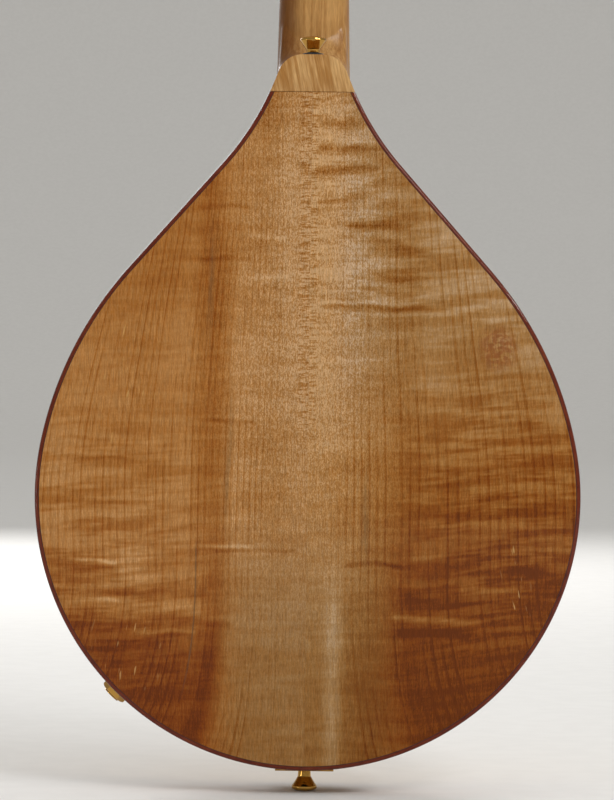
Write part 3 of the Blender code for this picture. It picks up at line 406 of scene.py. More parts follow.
def broad_tone(look, side, spread, across, z):
    """The slow change of tone over a half: 0 is pale, 1 is the darkest amber."""
    tail = look.step(0.165 - z, 0.0, 0.15)
    seam = look.step(0.026 - across, 0.0, 0.012) * look.hill(z, 0.140, 0.080) * 0.11
    seam = seam + look.step(z, 0.295, 0.330) * 0.11
    if side > 0:
        orange = look.hill(spread, 0.0425, 0.0085) * look.step(0.275 - z, 0.0, 0.05) * 0.20
        olive = look.hill(spread, 0.0500, 0.0100) * look.step(z, 0.05, 0.16) * 0.20
        corner = look.step(spread, 0.034, 0.046) * look.step(0.072 - z + across * 0.10, 0.0, 0.018)
        shoulder = look.step(z, 0.195, 0.255) * look.step(across, 0.010, 0.022) * 0.14
        flank = look.step(across, 0.03, 0.07) * 0.15
        waist = look.hill(across, 0.021, 0.016) * look.hill(z, 0.145, 0.055) * 0.10
        light = look.hill(across, 0.085, 0.040) * look.hill(z, 0.100, 0.035) * 0.13
        upper = seam + orange + olive + shoulder + flank + waist
        return 0.155 + upper - light + corner * 0.28 + tail * 0.27
    streak = look.hill(spread, 0.0500, 0.014) * 0.10
    corner = look.step(spread, 0.030, 0.070) * look.step(0.225 - z, 0.0, 0.11)
    middle = look.step(across, 0.008, 0.036) * 0.25
    pale = look.hill(across, 0.0135, 0.0075) * look.step(0.12 - z, 0.0, 0.06) * 0.30
    return 0.10 + seam + streak + middle + corner * 0.27 + tail * 0.36 - pale


def curls(look, side, across, z):
    """The single curls, each a stroke across the grain with soft ends and a waver."""
    waver = look.grain(across * 40, side * 3.0, z * 26, detail=1) - 0.5
    ragged = look.grain(across * 900, side * 3.0, z * 60) - 0.5
    height = z + waver * 0.0075 + ragged * 0.0014
    total = 0.0
    for middle, half, near, far, rise, strength in CURLS[side]:
        start = near + 0.002 + half
        reach = look.step(across, near, start) * look.step(far - across, 0.0, 0.5 * (far - near))
        level = height - across * rise
        stroke = look.hill(level, middle - rise * near, half * 1.2 + 0.0008)
        total = stroke * reach * (strength * 0.66) + total
    uneven = look.grain(across * 110, side * 8.0, z * 160)
    return total * (uneven + 0.45)


def waves(look, side, across, z, drift):
    """Weaker, irregular curl between the strokes, strongest along the flanks."""
    slant = 0.05 * side
    height = z + across * slant + drift * 0.012
    wave = look.grain(across * 20, side * 2.0, height * 165)
    fine = look.grain(across * 60, side * 5.0, height * 420)
    bands = look.step(wave * 0.62 + fine * 0.38, 0.38, 0.62) - 0.5
    flank = look.step(across, 0.03, 0.085)
    if side > 0:
        return bands * (0.11 + flank * look.hill(z, 0.100, 0.105) * 0.24)
    flank = flank * look.hill(z, 0.135, 0.125) + look.step(z, 0.205, 0.235) * 0.7
    return bands * (0.12 + flank * 0.26)


def growth_lines(look, spread, z, gap):
    """Fine dark lines of the year rings, gap metres apart near the seam, that wander with the grain."""
    wander = look.grain(spread * 16, 1.3, z * 7) - 0.5
    count = (spread ** 0.85) / gap + wander * 1.5
    rings = look.math("FRACT", count)
    late = look.step(rings, 0.52, 0.95) * look.step(1.0 - rings, 0.0, 0.05)
    fade = look.grain(spread * 130, 4.0, z * 11, detail=1)
    second = look.math("FRACT", count * 2.7)
    hair = look.step(second, 0.55, 0.95) * look.step(1.0 - second, 0.0, 0.08) * 0.35
    return (late + hair) * look.step(fade, 0.28, 0.72) * look.step(spread, 0.006, 0.022)


def speckle(look, side, across, z):
    """Restless mottle of the quartered wood, strong near the seam above the waist of the figure."""
    where = look.vector(across * 1700, side * 4.0, z * 820)
    grain = look.noise(where, roughness=0.55, distortion=0.9)
    streaks = look.grain(across * 1300, side * 6.0, z * 70)
    near = look.step(0.066 - across, 0.0, 0.055) * look.step(z, 0.02, 0.19)
    return (look.step(grain, 0.38, 0.62) - 0.5) * (near * 0.26 + 0.09) + (streaks - 0.5) * 0.34


def ray_flecks(look, side, across, z):
    """Ladders of short ticks across the grain where the board is cut on the quarter, by the seam."""
    ticks = look.grain(across * 150, side * 2.0, z * 950, roughness=0.7)
    ticks = look.step(ticks, 0.42, 0.60) - 0.4
    width = 0.0066 if side > 0 else 0.0046
    where = look.step(width - across, 0.0, 0.0022) * look.step(z, 0.145, 0.185)
    return ticks * where * 0.40


def smudges(look, side, spread, z):
    """Grey-brown mineral streaks along the grain."""
    rough = look.step(look.grain(spread * 420, side * 1.0, z * 16), 0.40, 0.62)
    if side > 0:
        low = look.step(0.115 - z, 0.0, 0.01) * look.step(z, 0.03, 0.06)
        line = look.hill(spread, 0.0533, 0.0007) * low
        veil = look.hill(spread, 0.0377, 0.0035) * look.hill(z, 0.150, 0.055) * rough * 0.42
        dark = look.hill(spread, 0.0480, 0.0030) * look.hill(z, 0.235, 0.075) * rough * 0.40
        return line * 0.62 + veil + dark
    return look.hill(spread, 0.0300, 0.0032) * look.hill(z, 0.122, 0.040) * rough * 0.60


def knot(look, across, z):
    """The reddish pin knot near the edge, in ragged patches."""
    patch = look.grain(across * 300, 2.0, z * 420, roughness=0.6)
    place = look.vector(across - 0.0925, 0.0, (z - 0.2085) * 0.85)
    away = look.node("VectorMath", {0: place}, output="Value", operation="LENGTH")
    return look.step(0.0125 - away, 0.0, 0.008) * look.step(patch, 0.36, 0.58) * 0.75


def pale_flecks(look, side, across, z):
    """Short pale flecks in the darker lower flank."""
    flecks = look.grain(across * 520 + z * 90, side * 7.0, z * 95, detail=1)
    bright = look.step(flecks, 0.66, 0.74)
    if side > 0:
        low = look.hill(z, 0.058, 0.030) * 0.75
        high = look.hill(z, 0.195, 0.060) * 0.55
        return bright * look.hill(across, 0.088, 0.026) * (low + high)
    return bright * look.hill(across, 0.103, 0.010) * look.hill(z, 0.100, 0.045) * 0.85


def bloodwood(name):
    """Red-brown wood with a fine grain, under a thick gloss."""
    look = Look(name, Roughness=0.35, Coat_Weight=1.0, Coat_Roughness=0.04, Coat_IOR=1.3,
                Specular_IOR_Level=0.05)
    grain = look.grain(look.x * 130, look.y * 900, look.z * 130, detail=4, roughness=0.65)
    colour = look.ramp(grain, [(0.25, (0.055, 0.007, 0.003)), (0.50, (0.120, 0.017, 0.005)),
                               (0.80, (0.185, 0.036, 0.009))])
    return look.set(Base_Color=colour, Normal=look.bump(grain, 0.00002, 0.4)).material


def maple_neck(name, slant=0.0, tone=(1.0, 1.0, 1.0), darker=0.0, run=9):
    """Straight-grained satin maple. A higher run gives shorter grain; darker is the share of painted shade
    on the treble side, as if lit from the bass side.
    """
    look = Look(name, Roughness=0.42, Coat_Weight=0.5, Coat_Roughness=0.20, Coat_IOR=1.36,
                Specular_IOR_Level=0.05)
    across = look.x + look.z * slant
    wander = look.grain(across * 30, look.y * 30, look.z * 4)
    lines = look.grain(across * 700, look.y * 500, look.z * run, detail=3, roughness=0.6)
    fibre = look.grain(across * 2600, look.y * 2000, look.z * 200)
    mottle = look.grain(across * 160, look.y * 160, look.z * 60)
    shade = wander * 0.35 + lines * 0.45 + mottle * 0.20
    pale = tuple(part * share for part, share in zip((0.48, 0.262, 0.088), tone))
    tan = tuple(part * share for part, share in zip((0.26, 0.104, 0.020), tone))
    colour = look.ramp(shade, [(0.36, pale), (0.64, tan)])
    # Painted shade: the treble side is darkened towards a deep brown, as if the light fell from the bass
    # side.
    treble_side_shade = look.step(look.x, 0.003, 0.015) * darker
    colour = look.blend(treble_side_shade, colour, (0.125, 0.036, 0.002))
    return look.finished(colour, fibre)


def maple_side(name):
    """Flamed maple bent round the rim: the curl crosses it, the grain follows it."""
    look = Look(name, Roughness=0.42, **LACQUER)
    along = look.attribute("along")
    wobble = look.grain(along * 12, look.y * 20, 0.0, detail=1) - 0.5
    wave = look.grain(along * 95 + wobble * 1.5 + look.y * 9, look.y * 12, 0.0)
    bands = look.step(wave, 0.36, 0.66)
    grain = look.grain(along * 12, look.y * 700, 0.0, detail=3, roughness=0.6)
    fibre = look.grain(along * 260, look.y * 2600, 0.0)
    shade = bands * 0.55 + grain * 0.45
    colour = look.ramp(shade, [(0.15, (0.43, 0.225, 0.085)), (0.55, (0.30, 0.130, 0.036)),
                               (0.95, (0.175, 0.062, 0.012))])
    return look.finished(colour, fibre)


def spruce_top(name):
    """Quartered spruce: close straight lines, opening from the centre joint outward."""
    look = Look(name, Roughness=0.45, **LACQUER)
    across = abs(look.x)
    wander = look.grain(across * 20, 0.0, look.z * 3, detail=1) - 0.5
    spread = across + wander * 0.0012
    rings = look.math("FRACT", (spread ** 0.9) / 0.0014)
    late = look.step(rings, 0.45, 0.90) * look.step(1.0 - rings, 0.0, 0.10)
    strength = look.grain(spread * 260, 2.0, look.z * 2, detail=1)
    silk = look.grain(across * 300, 0.0, look.z * 900, roughness=0.7)
    shade = late * look.step(strength, 0.2, 0.7) * 0.7 + silk * 0.22
    tone = look.grain(across * 14, 5.0, look.z * 5)
    colour = look.ramp(shade + tone * 0.18, [(0.05, (0.66, 0.43, 0.190)), (0.85, (0.36, 0.170, 0.050))])
    colour = rosette(look, colour)
    return look.set(Base_Color=colour, Normal=look.bump(late, 0.00003, 0.25)).material


def rosette(look, ground):
    """Flush rings of dark, pale and red wood let in round the oval soundhole."""
    across, up = look.x / SOUNDHOLE[0], (look.z - SOUNDHOLE_Z) / SOUNDHOLE[1]
    away = ((across * across + up * up) ** 0.5 - 1.0) * (sum(SOUNDHOLE) / 2)
    front = look.step(0.0 - look.y, 0.019, 0.020)
    grain = look.grain(look.x * 900, 0.0, look.z * 900)
    dark, pale = (0.012, 0.008, 0.006), (0.62, 0.47, 0.26)
    red = look.between(grain, (0.075, 0.020, 0.010), (0.17, 0.055, 0.022))
    for low, high, wood in ((0.0040, 0.0092, dark), (0.0045, 0.0051, pale), (0.0056, 0.0076, red),
                            (0.0081, 0.0087, pale)):
        band = look.step(away, low, low + 0.00008) * look.step(high - away, 0.0, 0.00008) * front
        ground = look.blend(band, ground, wood)
    return ground


def metal(name, colour, roughness, dull=None, marks=(900, 0.2), patches=(150, 3)):
    """Metal with marks of a scale and a relief, and patches of a duller tone of a scale and a detail."""
    look = Look(name, Metallic=1.0)
    scratches = look.noise(look.place, marks[0], detail=4, roughness=0.7)
    tone = look.noise(look.place, patches[0], detail=patches[1])
    tone = look.between(tone, dull or tuple(0.82 * part for part in colour), colour)
    gloss = look.between(scratches, roughness * 0.7, roughness * 1.5)
    relief = look.bump(scratches, 0.00001, marks[1])
    return look.set(Base_Color=tone, Roughness=gloss, Normal=relief).material


def wound_string(name):
    """Fine bronze wire wound on a core: ribs across the string."""
    look = Look(name, Metallic=1.0, Roughness=0.32)
    phase = look.math("FRACT", look.z / 0.00026)
    rib = look.math("SINE", phase * math.pi)
    # The dark colour in the grooves between the turns is painted shade; the crests carry the bronze's own
    # colour.
    colour = look.ramp(rib, [(0.1, (0.16, 0.085, 0.035)), (0.7, (0.62, 0.37, 0.17))])
    return look.set(Base_Color=colour, Normal=look.bump(rib, 0.0001, 1.0)).material


def dark_wood(name, dark, light, roughness):
    """A dense dark timber with long pores along the grain."""
    look = Look(name, Coat_Weight=0.35, Coat_Roughness=0.10, Coat_IOR=1.3, Specular_IOR_Level=0.2)
    grain = look.grain(look.x * 900, look.y * 900, look.z * 45, detail=4, roughness=0.65)
    broad = look.grain(look.x * 120, look.y * 120, look.z * 8, detail=3)
    pores = look.grain(look.x * 2600, look.y * 2600, look.z * 160)
    pores = look.step(pores, 0.62, 0.70)
    colour = look.ramp(broad * 0.6 + grain * 0.4, [(0.32, dark), (0.68, light)])
    gloss = look.between(grain, roughness * 0.85, roughness * 1.2)
    bump = look.bump(grain - pores * 0.8, 0.00004, 0.6)
    return look.set(Base_Color=colour, Roughness=gloss, Normal=bump).material


def raw_wood(name, dark, light):
    """Bare planed wood, unfinished, inside the body."""
    look = Look(name, Roughness=0.8)
    lines = look.grain(look.x * 500, look.y * 420, look.z * 30, detail=3, roughness=0.6)
    fibre = look.grain(look.x * 2200, look.y * 2200, look.z * 300)
    colour = look.between(lines * 0.7 + fibre * 0.3, dark, light)
    return look.set(Base_Color=colour, Normal=look.bump(fibre, 0.00006, 0.5)).material


def bone(name):
    """Cream bone, its faint grain along X."""
    look = Look(name, Coat_Weight=0.4, Coat_Roughness=0.2)
    grain = look.grain(look.x * 160, look.y * 1200, look.z * 1200, detail=3)
    colour = look.between(grain, (0.58, 0.50, 0.36), (0.74, 0.68, 0.54))
    gloss = look.between(grain, 0.28, 0.42)
    return look.set(Base_Color=colour, Roughness=gloss, Normal=look.bump(grain, 0.00003, 0.3)).material


def pearl(name):
    """Pearly plastic: cloudy patches with soft folded bands."""
    look = Look(name, Coat_Weight=1.0, Coat_Roughness=0.05)
    cloud = look.noise(look.place, 330, detail=3, roughness=0.55, distortion=1.6)
    folds = look.math("SINE", cloud * 26) * 0.5 + 0.5
    colour = look.ramp(folds * 0.6 + cloud * 0.4, [(0.15, (0.56, 0.52, 0.45)), (0.55, (0.72, 0.69, 0.62)),
                                                    (0.95, (0.84, 0.82, 0.78))])
    gloss = look.ramp(folds, [(0.2, 0.18), (0.8, 0.34)])
    return look.set(Base_Color=colour, Roughness=gloss, Normal=look.bump(cloud, 0.00005, 0.2)).material


def matt_black(name):
    """A dull black with a fine tooth, for felt, the lead's sheath and the jack's body."""
    look = Look(name, Roughness=0.95, Sheen_Weight=0.4)
    hair = look.noise(look.place, 3500, detail=3, roughness=0.7)
    colour = look.between(hair, (0.008, 0.008, 0.009), (0.035, 0.034, 0.036))
    return look.set(Base_Color=colour, Normal=look.bump(hair, 0.0002, 0.7)).material


# ---------------------------------------------------------------- mesh work
def piece(name, shape, material, slot, replaces=(), body="instrument", sharp=35):
    """Makes a finished piece of a mesh: shading, finish, body, and the CAD node it stands for."""
    outward(shape)
    if shape.calc_volume(signed=True) < 0:
        bmesh.ops.reverse_faces(shape, faces=shape.faces)
    obj = as_object(shape, name)
    obj.data.shade_smooth()
    obj.data.set_sharp_from_angle(angle=math.radians(sharp))
    obj.data.materials.append(material)
    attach(obj, body)
    if replaces:
        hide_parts(*replaces)
    return obj


def skin(rings, caps=True, closed=True, shape=None):
    """Faces through rings of points that match one to one."""
    shape = shape or bmesh.new()
    made = [[shape.verts.new(point) for point in ring] for ring in rings]
    count = len(rings[0])
    for one, two in zip(made, made[1:]):
        for i in range(count if closed else count - 1):
            j = (i + 1) % count
            shape.faces.new((one[i], one[j], two[j], two[i]))
    if caps:
        shape.faces.new(made[0][::-1])
        shape.faces.new(made[-1])
    return shape


def eased(corners, steps=6):
    """An outline with rounded corners; each corner is x, y and its radius."""
    path = []
    count = len(corners)
    for i, (x, y, radius) in enumerate(corners):
        here = Vector((x, y))
        if radius == 0:
            path.append(here)
            continue
        back = Vector(corners[i - 1][:2]) - here
        on = Vector(corners[(i + 1) % count][:2]) - here
        half = back.angle(on) / 2
        reach = min(radius / math.tan(half), 0.499 * back.length, 0.499 * on.length)
        centre = here + (back.normalized() + on.normalized()).normalized() * reach / math.cos(half)
        start = here + back.normalized() * reach - centre
        end = here + on.normalized() * reach - centre
        sweep = start.angle_signed(end)
        for k in range(steps + 1):
            turn = -sweep * k / steps
            path.append(centre + Matrix.Rotation(turn, 2) @ start)
    return path


def lathe(corners, place=Matrix(), steps=48, ring=False, ease=4):
    """A turned solid about its own Z axis; corners are radius, height and corner radius."""
    profile = eased(corners, ease)
    rings = [[place @ polar(p.x, turn, p.y) for p in profile] for turn in turns(steps)]
    shape = skin(rings + rings[:1], caps=False, closed=ring)
    bmesh.ops.remove_doubles(shape, verts=shape.verts, dist=0.000002)
    return shape


def prism(outline, low, high, place=Matrix(), ease=0.0, steps=2):
    """A flat outline between two heights along its own Z, with eased edges."""
    shape = bmesh.new()
    under = [shape.verts.new((p[0], p[1], low)) for p in outline]
    over = [shape.verts.new((p[0], p[1], high)) for p in outline]
    shape.faces.new(under[::-1])
    shape.faces.new(over)
    count = len(outline)
    for i in range(count):
        j = (i + 1) % count
        shape.faces.new((under[i], under[j], over[j], over[i]))
    if ease:
        rims = [e for e in shape.edges if abs(e.verts[0].co.z - e.verts[1].co.z) < 1e-9]
        bmesh.ops.bevel(shape, geom=rims, offset=ease, segments=steps, profile=0.5, affect="EDGES")
    shape.transform(place)
    return shape


def trim(shape, point, outward):
    """Cuts off what lies past a plane, and closes the cut."""
    geometry = shape.verts[:] + shape.edges[:] + shape.faces[:]
    cut = bmesh.ops.bisect_plane(shape, geom=geometry, dist=1e-7, plane_co=point, plane_no=outward,
                                 clear_outer=True)
    edges = [e for e in cut["geom_cut"] if isinstance(e, bmesh.types.BMEdge)]
    bmesh.ops.holes_fill(shape, edges=edges)
    return shape


def worked(shape, *tools):
    """The shape after modifiers: each tool is a modifier's kind, its settings and its other shape."""
    objects = [as_object(outward(shape))]
    for kind, settings, other in tools:
        step = objects[0].modifiers.new(kind, kind)
        for key, value in settings.items():
            setattr(step, key, value)
        if other is not None:
            objects.append(as_object(outward(other)))
            step.object = objects[-1]
    result = bmesh.new()
    result.from_object(objects[0], bpy.context.evaluated_depsgraph_get())
    for obj in objects:
        bpy.data.objects.remove(obj)
    return result


def outward(shape):
    """The shape with its faces turned outward."""
    bmesh.ops.recalc_face_normals(shape, faces=shape.faces)
    return shape


def as_object(shape, name="work"):
    """The shape as an object in the scene."""
    mesh = bpy.data.meshes.new(name)
    shape.to_mesh(mesh)
    shape.free()
    obj = bpy.data.objects.new(name, mesh)
    bpy.context.scene.collection.objects.link(obj)
    return obj


def gather(shapes):
    """Several separate bodies as one mesh."""
    whole = bmesh.new()
    for shape in shapes:
        mesh = bpy.data.meshes.new("part")
        shape.to_mesh(mesh)
        shape.free()
        whole.from_mesh(mesh)
        bpy.data.meshes.remove(mesh)
    return whole


def tube(points, radius, sides=10):
    """A round bar along a path; the radius is one number, or one for each point."""
    path = [Vector(p) for p in points]
    radii = radius if isinstance(radius, list) else [radius] * len(path)
    across = (path[1] - path[0]).orthogonal().normalized()
    rings = []
    for i, here in enumerate(path):
        ahead = (path[min(i + 1, len(path) - 1)] - path[max(i - 1, 0)]).normalized()
        across = (across - across.dot(ahead) * ahead).normalized()
        up = ahead.cross(across)
        ring = [here + radii[i] * (math.cos(a) * across + math.sin(a) * up) for a in turns(sides)]
        rings.append(ring)
    return skin(rings)


def wavy(radius, low, high, place, steps, levels, wave):
    """A rod between two heights whose radius is changed by wave(angle, height)."""
    rings = []
    for k in range(levels + 1):
        z = mix(low, high, k / levels)
        rings.append([place @ polar(radius + wave(a, z), a, z) for a in turns(steps)])
    return skin(rings)


def block(low, high, place=Matrix(), ease=0.0):
    """A box between two corners."""
    outline = [(low[0], low[1]), (high[0], low[1]), (high[0], high[1]), (low[0], high[1])]
    return prism(outline, low[2], high[2], place, ease)


def rod(radius, low, high, place, steps=24):
    """A plain cylinder between two heights."""
    return prism([radius * unit(a) for a in turns(steps)], low, high, place)


def oval(half_x, half_z, steps=96):
    """An outline round the soundhole."""
    return [(half_x * math.cos(a), half_z * math.sin(a)) for a in turns(steps)]


def screw(place, radius=0.0014, height=0.0009):
    """A domed screw head with a cross recess, its underside at the place."""
    dome = [(0, -0.0003, 0), (0, height, 0), (radius * 0.55, height * 0.9, radius * 0.5),
            (radius, height * 0.25, radius * 0.3), (radius, -0.0003, 0)]
    arm, slot = radius * 0.62, radius * 0.13
    head = lathe(dome, steps=24)
    for x, y in ((arm, slot), (slot, arm)):
        head = cut(head, block((-x, -y, height * 0.45), (x, y, height * 2)))
    head.transform(place)
    return head


def cut(shape, other, operation="DIFFERENCE"):
    """One closed shape less another, or what another operation makes of the two."""
    return worked(shape, ("BOOLEAN", {"operation": operation, "solver": "EXACT"}, other))


def join(shape, other):
    """Two closed shapes as one."""
    return cut(shape, other, "UNION")


# ---------------------------------------------------------------- body outline and arches
BOUT_CENTRE = Vector((0, BOUT_RADIUS))
SHOULDER_CENTRE = BOUT_CENTRE + (BOUT_RADIUS - SHOULDER_RADIUS) * unit(BOUT_END)
FLANK_START = SHOULDER_CENTRE + SHOULDER_RADIUS * unit(SHOULDER_END)
FLANK_END = FLANK_START + FLANK_LENGTH * unit(SHOULDER_END + math.pi / 2)
FLARE_CENTRE = FLANK_END + FLARE_RADIUS * unit(SHOULDER_END)
PAST_JOINT = 0.003                # how far the outline runs on before it is trimmed
FLARE_END = math.asin((FLARE_CENTRE.y - BODY_LENGTH - PAST_JOINT) / FLARE_RADIUS)
STRETCHES = (                     # length, and the centre, radius and angle at a share of it
    (BOUT_RADIUS * (BOUT_END + math.pi / 2),
     lambda t: (BOUT_CENTRE, BOUT_RADIUS, mix(-math.pi / 2, BOUT_END, t))),
    (SHOULDER_RADIUS * (SHOULDER_END - BOUT_END),
     lambda t: (SHOULDER_CENTRE, SHOULDER_RADIUS, mix(BOUT_END, SHOULDER_END, t))),
    (FLANK_LENGTH, lambda t: (FLANK_START.lerp(FLANK_END, t), 0.0, SHOULDER_END)),
    (FLARE_RADIUS * (SHOULDER_END - FLARE_END),
     lambda t: (FLARE_CENTRE, -FLARE_RADIUS, mix(SHOULDER_END, FLARE_END, t))),
)
RIM_LENGTH = sum(length for length, _ in STRETCHES)


def rim_at(along):
    """The outline's point and normal at a distance round it from the tail, negative on the bass side."""
    left = abs(along)
    for length, placed in STRETCHES:
        if left <= length + 1e-9:
            break
        left -= length
    centre, radius, angle = placed(min(left / length, 1.0))
    flip = Vector((math.copysign(1, along), 1))
    return (centre + radius * unit(angle)) * flip, unit(angle) * flip, along


def rim_run(start, end, spacing=0.0022):
    """Evenly spaced stations of the outline between two distances."""
    count = math.ceil((end - start) / spacing)
    return [rim_at(mix(start, end, i / count)) for i in range(count + 1)]


def half_width(z):
    """Half the body's width at height z."""
    if z < BOUT_CENTRE.y + BOUT_RADIUS * math.sin(BOUT_END):
        return math.sqrt(max(1e-12, BOUT_RADIUS**2 - (z - BOUT_CENTRE.y) ** 2))
    if z < FLANK_START.y:
        return SHOULDER_CENTRE.x + math.sqrt(SHOULDER_RADIUS**2 - (z - SHOULDER_CENTRE.y) ** 2)
    if z < FLANK_END.y:
        return FLANK_START.x - (z - FLANK_START.y) * math.tan(SHOULDER_END)
    return FLARE_CENTRE.x - math.sqrt(FLARE_RADIUS**2 - (FLARE_CENTRE.y - z) ** 2)


def arch_height(arch, x, z):
    """How far an arched plate's outer face stands above its rim."""
    if z < BOUT_RADIUS:
        return arch * (1 - (x**2 + (z - BOUT_RADIUS) ** 2) / BOUT_RADIUS**2)
    ridge = arch * (1 - ((z - BOUT_RADIUS) / (BODY_LENGTH - BOUT_RADIUS)) ** 2)
    return ridge * (1 - (x / half_width(z)) ** 2)


HEEL_BASE = half_width(BODY_LENGTH) - 0.0001                        # half the heel's width at the body
STATIONS = rim_run(0.0, RIM_LENGTH)
RING = rim_run(-RIM_LENGTH, RIM_LENGTH)
JOINT = Vector((0, 0, BODY_LENGTH - HAIRLINE))
UP = Vector((0, 0, 1))


def plate_half(side, facing, arch, columns=28):
    """Half of an arched plate, from the seam to the purfling, as a closed mesh."""
    inset = BINDING_WIDTH + PURFLING + 2 * HAIRLINE
    rows = []
    for point, normal, _ in STATIONS:
        rim = point - inset * normal
        row = []
        for depth in (0.0, PLATE_THICKNESS):
            face = []
            for k in range(columns + 1):
                x = mix(HAIRLINE / 2, max(rim.x, HAIRLINE), k / columns)
                y = RIM_HALF + arch_height(arch, x, rim.y) - depth
                face.append(Vector((side * x, facing * y, rim.y)))
            row += face if depth == 0.0 else face[::-1]
        rows.append(row)
    return trim(skin(rows), JOINT, UP)


def soundboard_half(side):
    """The soundboard's half with its part of the oval soundhole."""
    hole = prism(oval(*SOUNDHOLE), 0.0, 0.05, at(0, 0, SOUNDHOLE_Z) @ FACE_ON)
    return cut(plate_half(side, -1, TOP_ARCH), hole)


def rim_sweep(profile, stations, arch=0.0, facing=1):
    """A strip along the rim. Its profile is inset, distance from the mid plane, and share of arch."""
    rings = []
    for point, normal, _ in stations:
        ring = []
        for inset, y, lift in profile:
            here = point - inset * normal
            rise = lift * arch_height(arch, here.x, here.y) if lift else 0.0
            ring.append(Vector((here.x, facing * (y + rise), here.y)))
        rings.append(ring)
    return skin(rings)


def binding_profile():
    """Square inside, with a rounded outer corner that runs into the arch."""
    points = [(0.0, RIM_HALF - BINDING_DEPTH + HAIRLINE, 0)]
    steps = 6
    for k in range(steps + 1):
        turn = math.pi / 2 * k / steps
        inset = BINDING_EASE * (1 - math.cos(turn))
        points.append((inset, RIM_HALF - BINDING_EASE * (1 - math.sin(turn)), k / steps))
    points += [(BINDING_WIDTH, RIM_HALF, 1), (BINDING_WIDTH, RIM_HALF - BINDING_DEPTH + HAIRLINE, 0)]
    return points


def make_rim_trim(word, facing, arch):
    """The binding and the thin red-brown line inside it, round one face of the body."""
    strip = rim_sweep(binding_profile(), RING, arch, facing)
    piece(f"binding_{word}", trim(strip, JOINT, UP), BINDING_LOOK, "bloodwood_binding",
          (f"{word}_binding",))
    low = BINDING_WIDTH + HAIRLINE
    high = low + PURFLING
    section = [(low, RIM_HALF - PURFLING_DEPTH, 0), (low, RIM_HALF, 1), (high, RIM_HALF, 1),
               (high, RIM_HALF - PURFLING_DEPTH, 0)]
    line = rim_sweep(section, RING, arch, facing)
    piece(f"purfling_{word}", trim(line, JOINT, UP), PURFLING_LOOK, "ebony")


def make_sides():
    """Two bent sides, each from the tail graft to the neck."""
    half = RIM_HALF - BINDING_DEPTH
    section = [(0.0, -half, 0), (0.0, half, 0), (RIB_THICKNESS, half, 0), (RIB_THICKNESS, -half, 0)]
    stations = rim_run(GRAFT_HALF + HAIRLINE, RIM_LENGTH)
    for word, side in SIDES:
        shape = rim_sweep(section, stations)
        layer = shape.verts.layers.float.new("along")
        shape.verts.ensure_lookup_table()
        for i, vertex in enumerate(shape.verts):
            vertex[layer] = stations[i // len(section)][2] + (0.8 if side < 0 else 0.0)
        shape.transform(Matrix.Scale(side, 4, (1, 0, 0)))
        trim(shape, JOINT, UP)
        if side > 0:
            hole = [(0, -0.01, 0), (0.0048, -0.01, 0), (0.0048, 0.01, 0), (0, 0.01, 0)]
            shape = cut(shape, lathe(hole, jack_frame()))
        piece(f"rib_{word}", shape, SIDE_LOOK, "maple_side", (f"side_{word}",))


def jack_frame():
    """Where the jack stands on the rim, with local Z pointing straight out."""
    low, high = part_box("output_jack")
    middle = (low + high) / 2
    angle = math.atan2(middle.x, BOUT_RADIUS - middle.z)
    out = unit(angle - math.pi / 2)
    place = at(BOUT_RADIUS * out.x, 0, BOUT_RADIUS + BOUT_RADIUS * out.y)
    return place @ Matrix.Rotation(math.pi - angle, 4, "Y")


# ---------------------------------------------------------------- neck and heel
def heel_outline(top_z, corner, slope, base, low):
    """Half outline of the heel: a sloping flank and a round corner up to a short flat end."""
    lean = math.atan(slope)
    centre_z = top_z - corner
    flank_x = base - slope * (centre_z + corner * math.sin(lean) - BODY_LENGTH)
    centre_x = flank_x - corner * math.cos(lean)
    points = [Vector((base, low)), Vector((base, BODY_LENGTH))]
    for i in range(13):
        points.append(Vector((centre_x, centre_z)) + corner * unit(mix(lean, math.pi / 2, i / 12)))
    return points


def flowing(values, steps):
    """Rows of numbers made dense along a smooth curve through them."""
    ends = [values[0]] + list(values) + [values[-1]]
    rows = []
    for before, start, end, after in zip(ends, ends[1:], ends[2:], ends[3:]):
        for i in range(steps):
            t = i / steps
            rows.append([
                0.5 * (2 * b + (c - a) * t + (2 * a - 5 * b + 4 * c - d) * t**2
                       + (3 * b - a - 3 * c + d) * t**3)
                for a, b, c, d in zip(before, start, end, after)
            ])
    return rows + [list(values[-1])]


def heel_rings():
    """The heel, from above the cap's seat forward into the shaft."""
    slices = (                    # y, then top, corner, slope and base of the outline there
        (RIM_HALF + 0.004, HEEL_TOP_Z, HEEL_CORNER, HEEL_SLOPE, HEEL_BASE),
        (0.0080, HEEL_TOP_Z + 0.0001, HEEL_CORNER, HEEL_SLOPE, HEEL_BASE),
        (0.0010, HEEL_TOP_Z + 0.0010, 0.0127, 0.38, HEEL_BASE - 0.0002),
        (-0.0030, HEEL_TOP_Z + 0.0035, 0.0130, 0.32, HEEL_BASE - 0.0004),
        (-0.0060, HEEL_TOP_Z + 0.0080, 0.0130, 0.25, HEEL_BASE - 0.0008),
        (-0.0085, HEEL_TOP_Z + 0.0150, 0.0130, 0.16, HEEL_BASE - 0.0014),
        (-0.0120, HEEL_TOP_Z + 0.0270, 0.0130, 0.08, HEEL_BASE - 0.0022),
        (-0.0170, HEEL_TOP_Z + 0.0300, 0.0120, 0.05, HEEL_BASE - 0.0030),
    )
    rings = []
    for y, *shape in flowing(slices, 4):
        half = heel_outline(*shape, BODY_LENGTH - 0.006)
        rings.append([(p.x, y, p.y) for p in half + reflected(half)])
    return rings


def neck_section(half, depth, lift=-0.004, count=32):
    """Half-round section of the shaft, its flat front face run on by lift."""
    points = [Vector((half, lift, 0))]
    for i in range(count + 1):
        turn = math.pi * i / count
        x = half * math.copysign(abs(math.cos(turn)) ** 0.85, math.cos(turn))
        points.append(Vector((x, depth * math.sin(turn) ** 0.9, 0)))
    return points + [Vector((-half, lift, 0))]


def neck_half(along):
    """Half the width of the neck and the board."""
    return mix(*NECK_HALF, along / NUT_AT)


